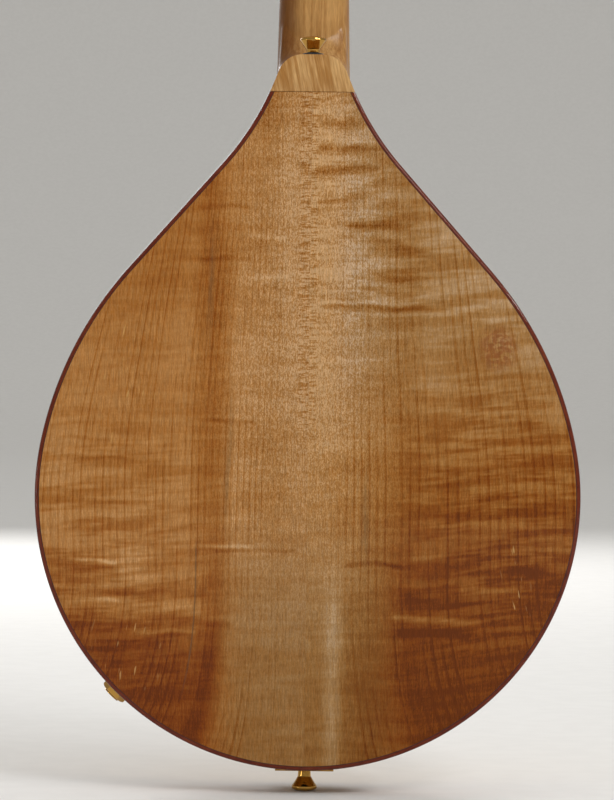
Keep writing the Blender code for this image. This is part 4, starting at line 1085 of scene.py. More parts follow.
def head_outline():
    """Headstock: a quick flare above the nut, tapering sides and a shallow crown."""
    return eased(mirrored([
        (0.0152, 0.0003, 0), (0.0162, 0.0040, 0.006), (0.0195, 0.0095, 0.012), (0.0250, 0.0135, 0.010),
        (0.0300, 0.0165, 0.004), (0.0318, 0.0205, 0.004), (0.0300, 0.060, 0.05), (0.0285, 0.104, 0.03),
        (0.0290, 0.1160, 0.0025), (0.0262, 0.1195, 0.003), (0.0195, 0.1200, 0.008),
        (0.0110, 0.1240, 0.008), (0.0, 0.128, 0.002),
    ]))


def make_neck():
    """Heel and shaft blended into one carved form, with the headstock on its end."""
    sections = []
    for along in (-0.006, 0.05, 0.10, 0.14, NUT_AT, HEAD_AT):
        ring = neck_section(neck_half(along), mix(*NECK_DEPTH, along / NUT_AT))
        sections.append([NECK @ (p + Vector((0, 0, along))) for p in ring])
    for along, depth in ((0.004, 0.0132), (0.014, 0.0118), (0.020, 0.0100)):
        ring = neck_section(0.0152, depth, 0.001)
        sections.append([HEAD @ (p + Vector((0, 0, along))) for p in ring])
    shape = join(skin(heel_rings()), skin(sections))
    shape = worked(shape, ("REMESH", {"mode": "VOXEL", "voxel_size": 0.0008}, None),
                   ("SMOOTH", {"factor": 0.5, "iterations": 14}, None))
    trim(shape, Vector((0, 0, BODY_LENGTH + HAIRLINE)), -UP)
    trim(shape, Vector((0, RIM_HALF - CAP_THICKNESS - HAIRLINE, 0)), Vector((0, 1, 0)))
    trim(shape, NECK.translation, NECK.to_3x3() @ Vector((0, -1, 0)))
    blank = prism(head_outline(), -HEAD_THICKNESS, 0.0, HEAD @ FACE_ON, 0.0007)
    shape = join(shape, blank)
    holes = [rod(POST_HOLE, -0.03, 0.01, post_place(*post)) for post in POSTS]
    holes.append(block((-0.0033, -0.001, HEAD_AT - 0.003), (0.0033, 0.0082, HEAD_AT + 0.021), NECK))
    shape = cut(shape, gather(holes))
    piece("neck_and_headstock", shape, NECK_LOOK, "maple_neck", ("neck",), sharp=50)
    tenon = block((-0.0090, -0.0188, 0.3135), (0.0090, 0.0155, BODY_LENGTH), ease=0.0003)
    piece("neck_tenon", tenon, NECK_LOOK, "maple_neck")


def make_heel_cap():
    """A flat plate over the end of the heel, its edges eased."""
    half = heel_outline(HEEL_TOP_Z, HEEL_CORNER, HEEL_SLOPE, HEEL_BASE, BODY_LENGTH + HAIRLINE)
    half.pop(1)
    outline = half + reflected(half)
    shape = prism(outline, -RIM_HALF, CAP_THICKNESS - RIM_HALF, FACE_ON, 0.0005, 3)
    piece("heel_cap_plate", shape, CAP_LOOK, "maple_neck", ("heel_cap",))


# ---------------------------------------------------------------- fittings
def make_heel_button():
    """The strap button on the heel and the thin washer under it."""
    place = at(0, HEEL_BUTTON_Y, HEEL_TOP_Z)
    profile = [(0, 0.0094, 0), (0.0050, 0.0094, 0.0005), (0.0063, 0.0088, 0.0004), (0.0065, 0.0078, 0.0005),
               (0.0034, 0.0034, 0.0010), (0.0031, 0.0017, 0.0003), (0, 0.0017, 0)]
    piece("heel_strap_button", lathe(profile, place, 64), *GOLD, ("heel_button",))
    ring = [(0.0018, 0.0014, 0.0002), (0.0052, 0.0014, 0.0003), (0.0052, 0.0003, 0.0003),
            (0.0018, 0.0003, 0.0002)]
    piece("strap_button_felt", lathe(ring, place, 48, ring=True), FELT_LOOK, "felt",
          ("heel_button_washer",))


def make_end_button():
    """The strap button at the tail, with its shank in the tail block."""
    place = Matrix.Rotation(math.pi, 4, "X")
    profile = [(0, 0.0118, 0), (0.0052, 0.0118, 0.0006), (0.0063, 0.0110, 0.0005), (0.0063, 0.0098, 0.0006),
               (0.0050, 0.0080, 0.003), (0.0033, 0.0052, 0.002), (0.0031, 0.0018, 0.0003),
               (0.0021, 0.0018, 0), (0.0021, -0.0160, 0.0006), (0, -0.0160, 0)]
    piece("end_strap_button", lathe(profile, place, 64), *GOLD, ("end_button",))


def make_jack():
    """Output jack: washer, hexagon nut, threaded barrel with its socket, and the body inside."""
    place = jack_frame()
    washer = [(0.0046, 0.0004, 0), (0.0070, 0.0004, 0), (0.0070, 0.0017, 0.0005), (0.0046, 0.0017, 0)]
    piece("jack_washer", lathe(washer, place, 48, ring=True), *GOLD)
    hexagon = prism([0.0068 * unit(a) for a in turns(6)], 0.0018, 0.0042)
    chamfer = [(0, 0.0015, 0), (0.0070, 0.0015, 0), (0.0070, 0.0034, 0), (0.0058, 0.0042, 0.0003),
               (0, 0.0042, 0)]
    nut = cut(hexagon, lathe(chamfer), "INTERSECT")
    nut = cut(nut, rod(0.0046, 0.0, 0.01, Matrix(), 48))
    nut.transform(place)
    piece("jack_nut", nut, *GOLD)
    barrel = wavy(0.00435, -0.0058, 0.0050, place, 36, 54, lambda a, z: thread(a, z, 0.0006, 0.00012))
    barrel = cut(barrel, rod(0.0031, -0.004, 0.01, place, 36))
    piece("jack_barrel", barrel, *GOLD, ("output_jack",))
    body = [(0, -0.0064, 0), (0.0062, -0.0064, 0.0005), (0.0062, -0.0225, 0.0008),
            (0.0030, -0.0240, 0.0005), (0, -0.0240, 0)]
    piece("jack_body", lathe(body, place, 48), RUBBER_LOOK, "lead_sheath")
    flange = [(0.0046, -0.0030, 0), (0.0065, -0.0030, 0.0004), (0.0065, -0.0058, 0.0004),
              (0.0046, -0.0058, 0)]
    piece("jack_inner_flange", lathe(flange, place, 48, ring=True), BRASS_LOOK, "brass_wheel")


def thread(angle, height, pitch, depth):
    """How far a screw thread stands out at an angle and height."""
    phase = (height / pitch - angle / (2 * math.pi)) % 1
    return depth * (1 - 2 * abs(2 * phase - 1))


# ---------------------------------------------------------------- fingerboard and nut
def fret_place(number):
    """Distance of a fret from the body joint; 0 is the nut's edge."""
    return NUT_AT - SCALE_LENGTH * (1 - 2 ** (-number / 12))


def make_board():
    """The fingerboard, widening towards the body, and its frets."""
    end = NUT_AT - HAIRLINE
    outline = eased(mirrored([(neck_half(BOARD_LOW), BOARD_LOW, 0.004), (neck_half(end), end, 0)]))
    board = prism(outline, BOARD_GLUE, BOARD_FACE, NECK @ FACE_ON, 0.0003)
    piece("fingerboard_ebony", board, EBONY_LOOK, "ebony", ("fingerboard",))
    frets = [fret(fret_place(number)) for number in range(1, FRET_COUNT + 1)]
    piece("frets", gather(frets), FRET_LOOK, "steel_string")


def dot(radius, depth, proud, place, steps):
    """A flat inlaid disc, proud of its surface by a hair."""
    disc = [(0, -depth, 0), (0, proud, 0), (radius, proud, 0.00003), (radius, -depth, 0)]
    return lathe(disc, place, steps)


def make_dots():
    """Position dots in the board's face, two at the octave, and smaller ones in its bass edge."""
    dots = []
    side_dots = []
    for number in (5, 7, 10, 12, 15):
        z = (fret_place(number - 1) + fret_place(number)) / 2
        for x in (-0.0068, 0.0068) if number == 12 else (0,):
            radius = 0.0021 if number == 12 else 0.0026
            dots.append(dot(radius, 0.001, 0.00004, NECK @ at(x, -BOARD_FACE, z) @ FACE_ON, 32))
        edge = NECK @ at(-neck_half(z), -BOARD_FACE / 2, z) @ Matrix.Rotation(-math.pi / 2, 4, "Y")
        side_dots.append(dot(0.0009, 0.0006, 0.00005, edge, 20))
    piece("face_dots", gather(dots), PEARL_LOOK, "tuner_knob")
    piece("side_dots", gather(side_dots), PEARL_LOOK, "tuner_knob")


def make_riser():
    """The wedge that carries the fingerboard over the arch of the soundboard."""
    ribs = []
    for k in range(9):
        along = mix(BOARD_LOW + 0.0008, -0.001, k / 8)
        half = neck_half(along) - 0.0012
        upper = [NECK @ Vector((half * share, -BOARD_GLUE + HAIRLINE, along)) for share in (1, -1)]
        lower = []
        for j in range(-4, 5):
            x, z = half * j / 4, upper[0].z
            lower.append(Vector((x, -RIM_HALF - arch_height(TOP_ARCH, x, z) - HAIRLINE, z)))
        ribs.append(upper + lower)
    piece("fingerboard_riser", skin(ribs), NECK_LOOK, "maple_neck")


def fret(along):
    """One crowned fret with filed ends and its tang's edge bedded in the board."""
    half = neck_half(along) - 0.0003
    rings = []
    for x, rise in ((-half, 0.12), (-half + 0.0004, 0.62), (-half + 0.0009, 1.0), (half - 0.0009, 1.0),
                    (half - 0.0004, 0.62), (half, 0.12)):
        ring = [(x, -BOARD_FACE + 0.0003, along + 0.0010), (x, -BOARD_FACE + 0.0003, along - 0.0010)]
        for k in range(9):
            turn = math.pi * k / 8
            height = FRET_HEIGHT * rise * math.sin(turn) ** 0.8
            ring.append((x, -BOARD_FACE - height, along - 0.0011 * math.cos(turn)))
        rings.append([NECK @ Vector(p) for p in ring])
    return skin(rings)


def string_rest(along):
    """Level of the strings' undersides above the neck's face."""
    return BOARD_FACE + FRET_HEIGHT + mix(0.0018, 0.0005, along / NUT_AT)


def string_places(course_step, pair_step):
    """Across positions of the eight strings, from the bass side."""
    return [(course - 1.5) * course_step + (pair - 0.5) * pair_step
            for course in range(4) for pair in range(2)]


def make_nut():
    """A bone nut with a round-bottomed slot for each string, falling away to the headstock."""
    half = neck_half(NUT_AT) - 0.0002
    rest = string_rest(NUT_AT)
    outline = [(half, -0.0003, 0.0002), (half, -rest + 0.0006, 0.0010)]
    for (_, radius), x in list(zip(each_string(), string_places(*NUT_STEPS)))[::-1]:
        wide = radius * 1.15
        outline += [(x + wide, -rest - 0.0007, 0.0001), (x + wide, -rest + 0.00003, wide * 0.98),
                    (x - wide, -rest + 0.00003, wide * 0.98), (x - wide, -rest - 0.0007, 0.0001)]
    outline += [(-half, -rest + 0.0006, 0.0010), (-half, -0.0003, 0.0002)]
    shape = prism(eased(outline, 3), NUT_AT, NUT_AT + NUT_THICKNESS)
    for vertex in shape.verts:
        past = (vertex.co.z - NUT_AT) / NUT_THICKNESS
        if vertex.co.y < -0.003:
            vertex.co.y += 0.0010 * past
    shape.transform(NECK)
    piece("bone_nut", shape, BONE_LOOK, "bone_nut", ("nut",))


def each_string():
    """Name and radius of the eight strings, from the bass side."""
    return [(f"{word}{pair}", radius) for word, radius in STRINGS for pair in (1, 2)]


# ---------------------------------------------------------------- headstock and tuners
def make_head_face():
    """The veneer, the truss rod's cover with its screws, and the bushings."""
    outline = [(p.x, max(p.y, 0.0012)) for p in head_outline()]
    veneer = prism(outline, 0.00004, VENEER_FACE, HEAD @ FACE_ON, 0.0003)
    holes = [rod(POST_HOLE, -0.01, 0.01, post_place(*post)) for post in POSTS]
    holes.append(block((-0.0036, -0.005, -0.002), (0.0036, 0.002, 0.020), HEAD))
    piece("head_veneer", cut(veneer, gather(holes)), ROSEWOOD_LOOK, "rosewood_veneer",
          ("headstock_veneer",))

    outline = eased(mirrored([(0.0055, 0.003, 0.001), (0.0068, 0.010, 0.004), (0.0062, 0.019, 0.005),
                              (0.0035, 0.0245, 0.004), (0, 0.0265, 0.002)]))
    face = VENEER_FACE + 0.0014
    cover = prism(outline, VENEER_FACE + HAIRLINE, face, HEAD @ FACE_ON, 0.0004, 3)
    piece("truss_rod_cap", cover, EBONY_LOOK, "ebony", ("truss_rod_cover",))
    screws = [screw(HEAD @ at(0, -face, z) @ FACE_ON, 0.0010, 0.0006) for z in (0.0055, 0.0225)]
    piece("truss_rod_cap_screws", gather(screws), *GOLD)

    seat = VENEER_FACE + HAIRLINE
    bushing = [(0.0031, -0.004, 0), (0.0031, VENEER_FACE + 0.0009, 0.0002),
               (0.0040, VENEER_FACE + 0.0009, 0.0003), (0.0050, VENEER_FACE + 0.0003, 0.0003),
               (0.0050, seat, 0), (0.0040, seat, 0), (0.0040, -0.004, 0)]
    rings = [lathe(bushing, post_place(*post), 40, ring=True) for post in POSTS]
    piece("post_bushings", gather(rings), *GOLD)


def make_tuner_plates():
    """A plate at each side of the back of the headstock, with two lugs for each worm."""
    half = 0.0075
    low = FIRST_POST - WORM_DROP - 0.006
    high = POST_HEIGHTS[-1] + 0.010
    lug_end = GEAR_DEPTH + 0.0026
    for word, side in SIDES:
        place = HEAD @ at(side * POST_X, 0, 0)
        corners = [(half, low, 0.0032), (half, high, 0.0032), (-half, high, 0.0032), (-half, low, 0.0032)]
        plate = prism(eased(corners), -PLATE_FACE - TUNER_PLATE, -PLATE_FACE, place @ FACE_ON, 0.0002)
        holes = []
        lugs = []
        for post in POST_HEIGHTS:
            worm = post - WORM_DROP
            tab = eased([(PLATE_FACE + 0.0006, worm - 0.0030, 0), (lug_end, worm - 0.0022, 0.0022),
                         (lug_end, worm + 0.0022, 0.0022), (PLATE_FACE + 0.0006, worm + 0.0030, 0)])
            for x in (-half + 0.0003, half - 0.0015):
                lugs.append(prism(tab, x, x + 0.0012, place @ SIDE_ON, 0.00015))
            shaft = place @ at(0, GEAR_DEPTH, worm) @ ALONG_X
            holes.append(rod(SHAFT_RADIUS + 0.0002, -0.02, 0.02, shaft))
            holes.append(rod(0.0034, -0.02, 0.0, place @ at(0, 0, post) @ FACE_ON))
        plate = cut(join(plate, gather(lugs)), gather(holes))
        piece(f"tuner_base_{word}", plate, *GOLD, (f"tuner_plate_{word}",))
        heights = [low + 0.0022, high - 0.0022] + [z + 0.0090 for z in POST_HEIGHTS[:3]]
        heads = [screw(place @ at(0, PLATE_FACE + TUNER_PLATE, z) @ BACK_ON) for z in heights]
        piece(f"tuner_screws_{word}", gather(heads), *GOLD)


def gear_outline():
    """A toothed wheel, each tooth with sloping flanks and a flat tip."""
    root = GEAR_RADIUS - 0.0009
    shape = ((-0.32, root), (-0.20, GEAR_RADIUS - 0.0003), (-0.10, GEAR_RADIUS), (0.10, GEAR_RADIUS),
             (0.20, GEAR_RADIUS - 0.0003), (0.32, root))
    return [radius * unit(2 * math.pi * (tooth + share) / GEAR_TEETH)
            for tooth in range(GEAR_TEETH) for share, radius in shape]


def make_post(number, side, z, string_radius):
    """One post with its gear, the gear's screw and the string's turns."""
    body = f"tuner_post_{number}"
    place = post_place(side, z)
    profile = [(0, 0.0135, 0), (0.0024, 0.0135, 0.0004), (0.0030, 0.0128, 0.0004), (0.0030, 0.0112, 0.0006),
               (POST_WAIST, 0.0098, 0.001), (POST_WAIST, 0.0044, 0.0005), (0.0030, 0.0040, 0.0002),
               (0.0030, -GEAR_DEPTH - 0.0016, 0.0001), (0, -GEAR_DEPTH - 0.0016, 0)]
    post = lathe(profile, place, 40)
    hole = rod(0.0007, -0.006, 0.006, place @ at(0, 0, 0.0105) @ ALONG_X, 16)
    piece(f"post_{number}", cut(post, hole), *GOLD, (body,), body)
    gear = prism(gear_outline(), -GEAR_DEPTH - 0.0015, -GEAR_DEPTH + 0.0015, place, 0.00015)
    gear = cut(gear, rod(0.00305, -0.03, 0.03, place, 32))
    piece(f"gear_{number}", gear, BRASS_LOOK, "gold_hardware", body=body)
    back = HEAD @ at(side * POST_X, GEAR_DEPTH + 0.0016, z) @ BACK_ON
    piece(f"gear_screw_{number}", screw(back, 0.0021, 0.0009), *GOLD, body=body)

    count = min(MOST_TURNS, round(WRAP_LENGTH / (2 * string_radius)))
    pitch = 2.08 * string_radius
    start = 0 if side < 0 else math.pi
    top = wrap_top(string_radius)
    steps = 24                    # points in a turn
    path = []
    for k in range(steps * count + 1):
        a = start - side * 2 * math.pi * k / steps
        path.append(place @ polar(POST_WAIST + string_radius, a, top - pitch * k / steps))
    end = [place @ Vector((x, 0, 0.0105)) for x in (-0.0052, -0.001, 0.0040)]
    coils = gather([tube(path, string_radius, 8), tube(end, string_radius, 8)])
    piece(f"string_turns_{number}", coils, *string_look(string_radius), body=body)


def string_look(radius):
    """Material and slot of a string: the two thicker courses are wound."""
    if radius > WOUND_FROM:
        return BRONZE_LOOK, "wound_string"
    return STEEL_LOOK, "steel_string"


def make_button(number, side, z):
    """One worm shaft with its pearl button."""
    body = f"tuner_button_{number}"
    out = HEAD @ at(0, GEAR_DEPTH, z - WORM_DROP) @ Matrix.Rotation(side * math.pi / 2, 4, "Y")
    inner = POST_X - 0.0083
    outer = 0.0362
    bar = [(0, inner, 0), (SHAFT_RADIUS, inner, 0.0003), (SHAFT_RADIUS, outer, 0), (0, outer, 0)]
    collar = [(0, 0.0288, 0), (0.0024, 0.0288, 0.0002), (0.0026, 0.0300, 0.0003), (0.0016, 0.0312, 0.0005),
              (0.0016, 0.0330, 0.0004), (0.0027, 0.0342, 0.0003), (0.0027, 0.0352, 0.0002),
              (0, 0.0352, 0)]
    worm = wavy(0.0016, inner + 0.0026, POST_X + 0.0055, out, 28, 60,
                lambda a, h: thread(a, h, 0.0024, 0.0004))
    shaft = gather([lathe(bar, out, 24), worm, lathe(collar, out, 32)])
    piece(f"worm_shaft_{number}", shaft, *GOLD, (body,), body)
    knob = [(0, 0.0353, 0), (0.0026, 0.0353, 0.0003), (0.0036, 0.0368, 0.002), (0.0058, 0.0395, 0.003),
            (0.0062, 0.0440, 0.003), (0.0056, 0.0480, 0.0035), (0.0028, 0.0490, 0.004), (0, 0.0490, 0)]
    flat = out @ Matrix.Scale(0.68, 4, (1, 0, 0))
    piece(f"button_{number}", lathe(knob, flat, 48, ease=6), PEARL_LOOK, "tuner_knob", body=body)


def wrap_top(radius):
    """Height of a string's first turn on its post."""
    return WRAP_HEIGHT + 0.0016 - radius


def make_strings():
    """Each string from a loop on its hook over the saddle and the nut to its post."""
    places = zip(string_places(*HOOK_STEPS), string_places(*SADDLE_STEPS), string_places(*NUT_STEPS))
    for number, ((word, radius), (x, saddle_x, nut_x)) in enumerate(zip(each_string(), places)):
        tuner = number if number < 4 else 11 - number      # the inner strings go to the highest posts
        side, height = POSTS[tuner]
        rest = -string_rest(NUT_AT) - radius
        inward = side * (POST_X - POST_WAIST - radius)
        saddle = Vector((saddle_x, BRIDGE_Y - radius, BRIDGE_Z))
        start = Vector((x, HOOK_Y, HOOK_Z + 0.0026))
        path = [start, start.lerp(saddle, 0.06), start.lerp(saddle, 0.98), saddle]
        for shift in (-0.0012, 0.0004):
            path.append(NECK @ Vector((nut_x, rest - 0.00002, NUT_AT + shift)))
        path.append(NECK @ Vector((nut_x, rest + 0.0006, NUT_AT + NUT_THICKNESS)))
        path.append(HEAD @ Vector((inward, -wrap_top(radius), height)))
        loop = [start]
        for k in range(21):
            a = mix(0.5, 2 * math.pi - 0.5, k / 20) + math.pi / 2
            loop.append(Vector((x + 0.0011 * math.cos(a), HOOK_Y, HOOK_Z - 0.0001 + 0.0016 * math.sin(a))))
        loop.append(start)
        twist = wavy(radius * 1.5, 0.0, 0.007, along_to(start, saddle), 16, 60,
                     lambda a, z: 0.35 * radius * math.cos(2 * a - 2 * math.pi * z / 0.0012))
        shape = gather([tube(path, radius, 10), tube(loop, min(radius, 0.00022), 8), twist])
        piece(f"strung_{word}", shape, *string_look(radius), (f"string_{word}",))
        make_post(tuner + 1, side, height, radius)
        make_button(tuner + 1, side, height)


def along_to(start, end):
    """A place at start whose local Z points to end."""
    return Matrix.Translation(start) @ (end - start).to_track_quat("Z", "Y").to_matrix().to_4x4()


# ---------------------------------------------------------------- bridge and tailpiece
def make_bridge():
    """The bridge's foot with its studs, the saddle and the two wheels it rests on."""
    studs = [at(side * STUD_X, 0, BRIDGE_Z) @ FACE_ON for side in (-1, 1)]
    piece("bridge_foot", skin(bridge_foot_rings()), EBONY_LOOK, "ebony", ("bridge_base",))
    posts = [wavy(0.00138, 0.0355, SADDLE_END, place, 24, 72, lambda a, z: thread(a, z, 0.0008, 0.0001))
             for place in studs]
    piece("bridge_studs", gather(posts), BRASS_LOOK, "brass_wheel")

    cutters = [rod(0.0018, 0.030, SADDLE_FOOT + 0.0050, place) for place in studs]
    for (_, radius), x in zip(each_string(), string_places(*SADDLE_STEPS)):
        cutters.append(rod(radius * 1.02, -0.01, 0.01, at(x, BRIDGE_Y - radius, BRIDGE_Z), 16))
    saddle = cut(skin(saddle_rings()), gather(cutters))
    piece("saddle", saddle, EBONY_LOOK, "ebony", ("bridge_saddle",), "bridge_saddle")
    for word, place in zip(("bass", "treble"), studs):
        wheel = wavy(0.0056, WHEEL_LOW, WHEEL_HIGH, place, 144, 8, knurl)
        wheel = cut(wheel, rod(0.0017, 0.03, 0.05, place, 32))
        body = f"thumbwheel_{word}"
        piece(f"height_wheel_{word}", wheel, BRASS_LOOK, "brass_wheel", (body,), body)


def bridge_foot_rings():
    """Sections of the foot: hollow under its middle, fitted to the arch, and thin at the ends."""
    half, top = 0.054, 0.0360
    rings = []
    for k in range(49):
        x = mix(-half, half, k / 48)
        share = abs(x) / half
        hollow = 0.0016 * (1 - min(1.0, max(0.0, share / 0.25 - 1.0)) ** 2) if share < 0.5 else 0.0
        foot = -RIM_HALF - arch_height(TOP_ARCH, x, BRIDGE_Z) - 0.0003 - hollow
        edge = foot - 0.0022
        drop = max(0.0, (share - 0.72) / 0.28)
        crest = min(mix(-top, edge, drop**1.3), edge)
        wide = 0.0055 * (1 - 0.22 * max(0.0, share - 0.7) / 0.3)
        ring = eased([(-wide, foot, 0), (wide, foot, 0), (wide, crest + 0.0006, 0),
                      (wide * 0.82, crest, 0.0006), (-wide * 0.82, crest, 0.0006),
                      (-wide, crest + 0.0006, 0)], 3)
        rings.append([Vector((x, p.y, BRIDGE_Z + p.x)) for p in ring])
    return rings


def saddle_rings():
    """Sections of the saddle: a thin crest under the strings and low, thicker ends."""
    wide, thick = 0.0502, 0.00275
    rings = []
    for k in range(61):
        x = mix(-wide, wide, k / 60)
        share = abs(x) / wide
        shoulder = max(0.0, min(1.0, (share - 0.50) / 0.40))
        crest = mix(BRIDGE_Y - 0.0002, -SADDLE_END, shoulder**1.4)
        if share > 0.9:
            crest = -SADDLE_END + 0.0018 * ((share - 0.9) / 0.1) ** 2
        base = -SADDLE_FOOT
        if share >= 0.93:
            base -= 0.0012 * ((share - 0.93) / 0.07) ** 2
        thin = mix(0.0014, 0.0024, shoulder)
        waist = -SADDLE_FOOT - 0.0014
        ring = eased([(-thick, base, 0.0003), (thick, base, 0.0003), (thick, waist, 0.0004),
                      (thin, crest, 0.0006), (-thin, crest, 0.0006), (-thick, waist, 0.0004)], 3)
        rings.append([Vector((x, p.y, BRIDGE_Z + p.x)) for p in ring])
    return rings


def knurl(angle, height):
    """Ribs round a wheel's edge, with both edges eased."""
    edge = min(height - WHEEL_LOW, WHEEL_HIGH - height)
    return 0.00012 * math.cos(36 * angle) - 0.0003 * max(0.0, 1 - edge / 0.0003) ** 2


def make_tailpiece():
    """A bent gold plate over the tail, with a window, a hole for the end button and eight hooks."""
    low, high = -0.0017, 0.058    # the plate's ends
    bend, tip = -0.0255, -0.0322  # y of its face at each
    sheet = 0.0012
    section = eased([(0.0090, low, 0.0005), (bend, low, 0.0022), (tip, high, 0.0005),
                     (tip + sheet, high, 0.0005), (bend + sheet, low + sheet, 0.0010),
                     (0.0090, low + sheet, 0.0005)], 6)
    plate = prism(section, -0.0145, 0.0145, SIDE_ON, 0.0003)
    plate = cut(plate, rod(0.0024, -0.01, 0.01, Matrix(), 32))
    half, foot, head, corner = 0.0095, 0.0110, 0.0400, 0.002
    window = eased([(half, foot, corner), (half, head, corner), (-half, head, corner),
                    (-half, foot, corner)])
    plate = cut(plate, prism(window, 0.020, 0.045, FACE_ON))
    piece("tail_plate", plate, *GOLD, ("tailpiece",))
    hooks = []
    for x in string_places(*HOOK_STEPS):
        path = flowing([(-0.0306, 0.0490), (-0.0318, 0.0512), (-0.0336, 0.0519), (-0.0349, 0.0510),
                        (-0.0350, 0.0496)], 5)
        hooks.append(tube([(x, y, z) for y, z in path], 0.00055, 10))
    piece("string_hooks", gather(hooks), *GOLD)
    screws = [screw(at(x, -0.0258, 0.0052) @ FACE_ON, 0.0016, 0.0009) for x in (-0.010, 0.010)]
    piece("tail_plate_screws", gather(screws), *GOLD)


def make_tail_cover():
    """The cover that slides onto the plate: a tapering arch with a bead at its open end."""
    sections = (                  # z, y of the cheeks' edges, y of the roof, and the bead's rise
        (-0.0015, -0.0257, -0.0305, 0.0), (0.020, -0.0272, -0.0358, 0.0),
        (0.040, -0.0287, -0.0390, 0.0), (0.0575, -0.0300, -0.0405, 0.0),
        (0.0595, -0.0301, -0.0406, 0.0003), (0.0610, -0.0302, -0.0407, 0.0003),
        (0.0620, -0.0303, -0.0408, 0.0),
    )
    rings = []
    for z, cheek, roof, lift in flowing(sections, 18):
        panel = soft(z, 0.0055, 0.0070) * soft(-z, -0.0535, -0.0520)
        outer = cover_arch(0.0190 + lift, cheek, roof - lift, 0.0006 * panel)
        inner = cover_arch(0.0182, cheek, roof + 0.0008)
        rings.append([Vector((p.x, p.y, z)) for p in outer + inner[::-1]])
    piece("tail_cover", skin(rings), *GOLD, ("tailpiece_cover",), "tailpiece_cover")


def cover_arch(half, cheek, roof, raised=0.0):
    """The cover's section: upright cheeks, round shoulders and a crowned roof with a raised panel."""
    shoulder = 0.0036
    points = [Vector((-half, cheek))]
    for k in range(9):
        turn = math.pi / 2 * k / 8
        x = -half + shoulder * (1 - math.cos(turn))
        points.append(Vector((x, roof + shoulder * (1 - math.sin(turn)))))
    crown = []
    for k in range(1, 32):
        x = mix(-half + shoulder, half - shoulder, k / 32)
        panel = raised * soft(-abs(x), -0.0140, -0.0125)
        crown.append(Vector((x, roof - 0.0008 * math.sin(math.pi * k / 32) - panel)))
    return points + crown + reflected(points)


BINDING_LOOK = bloodwood("bloodwood")
PURFLING_LOOK = raw_wood("dyed_line", (0.030, 0.006, 0.003), (0.060, 0.014, 0.006))
EBONY_LOOK = dark_wood("ebony", (0.005, 0.0042, 0.0038), (0.017, 0.0135, 0.011), 0.38)
ROSEWOOD_LOOK = dark_wood("rosewood", (0.016, 0.006, 0.0035), (0.105, 0.042, 0.020), 0.25)
BONE_LOOK = bone("bone")
PEARL_LOOK = pearl("pearl")
BRASS_LOOK = metal("brass", (0.64, 0.42, 0.16), 0.22)
FRET_LOOK = metal("nickel_silver", (0.60, 0.58, 0.54), 0.18)
STEEL_LOOK = metal("string_steel", (0.56, 0.56, 0.57), 0.25)
BRONZE_LOOK = wound_string("wound_bronze")
RUBBER_LOOK = matt_black("black_rubber")
SIDE_LOOK = maple_side("maple_side")
# darker=0.88 paints shade on the treble side of the neck, heel tenon and riser.
NECK_LOOK = maple_neck("maple_neck", darker=0.88)
CAP_LOOK = maple_neck("maple_heel_cap", slant=-0.20, tone=(1.30, 1.46, 1.80), run=52)
# The gold's base colour is much darker than gold's own: a painted dark reflection, standing in for gold
# that mirrors dim surroundings.
GOLD = (                          # material and slot
    metal("polished_gold", (0.50, 0.280, 0.064), 0.10, dull=(0.45, 0.240, 0.050), marks=(420, 0.08),
          patches=(60, 1)),
    "gold_hardware",
)
FELT_LOOK = matt_black("black_felt")
BACK_LOOKS = {-1: maple_back("maple_back_bass", -1), 1: maple_back("maple_back_treble", 1)}
TOP_LOOK = spruce_top("spruce_top")

for word, side in SIDES:
    back = plate_half(side, 1, BACK_ARCH)
    piece(f"back_plate_{word}", back, BACK_LOOKS[side], "maple_back", (f"back_{word}",))
    piece(f"soundboard_{word}", soundboard_half(side), TOP_LOOK, "spruce_top", (f"top_{word}",))
make_rim_trim("back", 1, BACK_ARCH)
make_rim_trim("top", -1, TOP_ARCH)
make_sides()
make_neck()
make_heel_cap()
make_heel_button()
make_end_button()
make_jack()
make_board()
make_dots()
make_riser()
make_nut()
make_head_face()
make_tuner_plates()
make_strings()
make_bridge()
make_tailpiece()
make_tail_cover()

# The CAD pieces that stay as they are, inside or nearly hidden, have a material of their own.
for look, names in (
        (raw_wood("mahogany", (0.21, 0.085, 0.040), (0.31, 0.140, 0.070)),
         ("back_lining", "top_lining", "neck_block", "tail_block")),
        (raw_wood("brace_spruce", (0.50, 0.36, 0.20), (0.64, 0.49, 0.30)), ("back_bracing", "top_bracing")),
        (EBONY_LOOK, ("tail_graft",)),
        (metal("rod_steel", (0.38, 0.38, 0.39), 0.45), ("truss_rod",)),
        (BRASS_LOOK, ("pickup",)),
        (RUBBER_LOOK, ("pickup_lead",)),
):
    for name in names:
        for slot in bpy.data.objects[name].material_slots:
            slot.material = look


# ---------------------------------------------------------------- floor, light and camera
WORLD_STRENGTH = 0.66
LAMP_AIM = Vector((0, 0, 0.2))
LAMPS = (                         # place, width, height and power
    ("key", (-1.1, 1.9, 1.7), 0.8, 0.8, 22),
    ("binding_left", (1.75, 1.05, 0.02), 0.10, 0.5, 4),
    ("binding_right", (-1.5, 1.0, 1.2), 0.45, 0.12, 6),
    ("front", (0.7, -2.5, 1.4), 1.4, 1.2, 36),
)
LENS = 146.6
CAMERA_DISTANCE = 1.6             # from the rim of the back
CAMERA_AIM = Vector((0.0008, RIM_HALF, 0.1822))
CAMERA_YAW = math.radians(-0.5)
CAMERA_ROLL = math.radians(0.72)


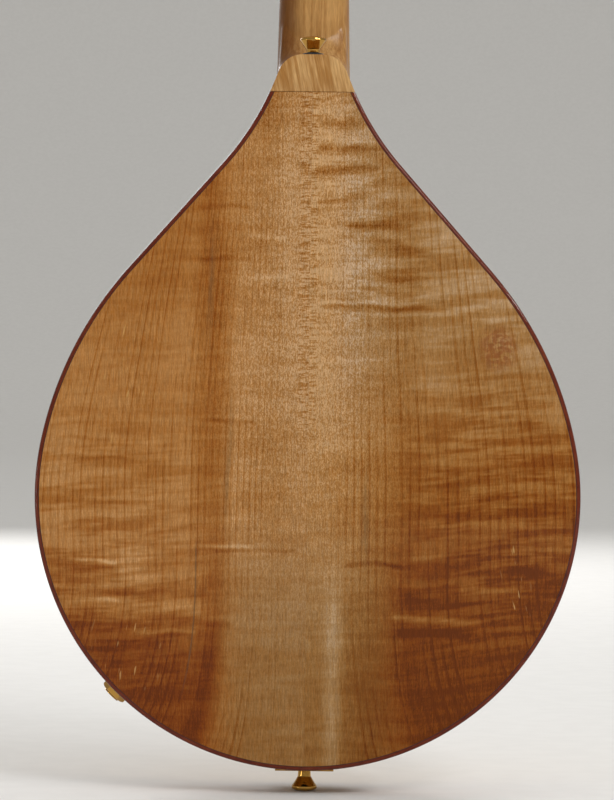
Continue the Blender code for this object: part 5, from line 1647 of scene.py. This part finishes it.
def make_stage():
    """A pale floor that sweeps up, far away on every side, into a pale wall."""
    reach, rise, corner = 14.0, 9.0, 4.0
    outline = [Vector((0.0, 0.0)), Vector((reach - corner, 0.0))]
    for k in range(1, 17):
        turn = math.pi / 2 * k / 16
        outline.append(Vector((reach - corner + corner * math.sin(turn), corner * (1 - math.cos(turn)))))
    outline.append(Vector((reach, rise)))
    floor_z = CAD_BOX[0].z - 0.0005
    rings = [[polar(p.x, a, floor_z + p.y) for p in outline] for a in turns(72)]
    shape = skin(rings + rings[:1], caps=False, closed=False)
    bmesh.ops.remove_doubles(shape, verts=shape.verts, dist=0.00001)
    look = Look("pale_paper", Roughness=0.9, Specular_IOR_Level=0.1)
    tooth = look.noise(look.place, 60, detail=3)
    look.set(Base_Color=look.between(tooth, (0.78, 0.77, 0.75), (0.80, 0.79, 0.77)))
    floor = as_object(shape, "floor")
    floor.data.shade_smooth()
    floor.data.materials.append(look.material)


def make_lights():
    """An even white surround and four rectangular lamps that face the middle of the instrument."""
    bpy.context.scene.view_settings.view_transform = "Standard"
    world = bpy.data.worlds.new("studio")
    bpy.context.scene.world = world
    world.use_nodes = True
    surround = world.node_tree.nodes["Background"]
    surround.inputs[0].default_value = (1.0, 0.99, 0.97, 1.0)
    surround.inputs[1].default_value = WORLD_STRENGTH
    for name, place, width, height, power in LAMPS:
        light = bpy.data.lights.new(name, "AREA")
        light.shape = "RECTANGLE"
        light.size = width
        light.size_y = height
        light.energy = power
        lamp = bpy.data.objects.new(name, light)
        bpy.context.scene.collection.objects.link(lamp)
        lamp.location = place
        lamp.rotation_euler = (LAMP_AIM - Vector(place)).to_track_quat("-Z", "Y").to_euler()


def make_camera():
    """A long lens straight behind the instrument, turned a little as in the photo."""
    data = bpy.data.cameras.new("camera")
    data.sensor_width = 36
    data.lens = LENS
    camera = bpy.data.objects.new("camera", data)
    bpy.context.scene.collection.objects.link(camera)
    back = Vector((math.sin(CAMERA_YAW), math.cos(CAMERA_YAW), 0))
    camera.location = CAMERA_AIM + CAMERA_DISTANCE * back
    turn = (-back).to_track_quat("-Z", "Y").to_matrix().to_4x4()
    roll = Matrix.Rotation(CAMERA_ROLL, 4, "Z")
    camera.matrix_world = Matrix.Translation(camera.location) @ turn @ roll
    bpy.context.scene.camera = camera


make_stage()
make_lights()
make_camera()
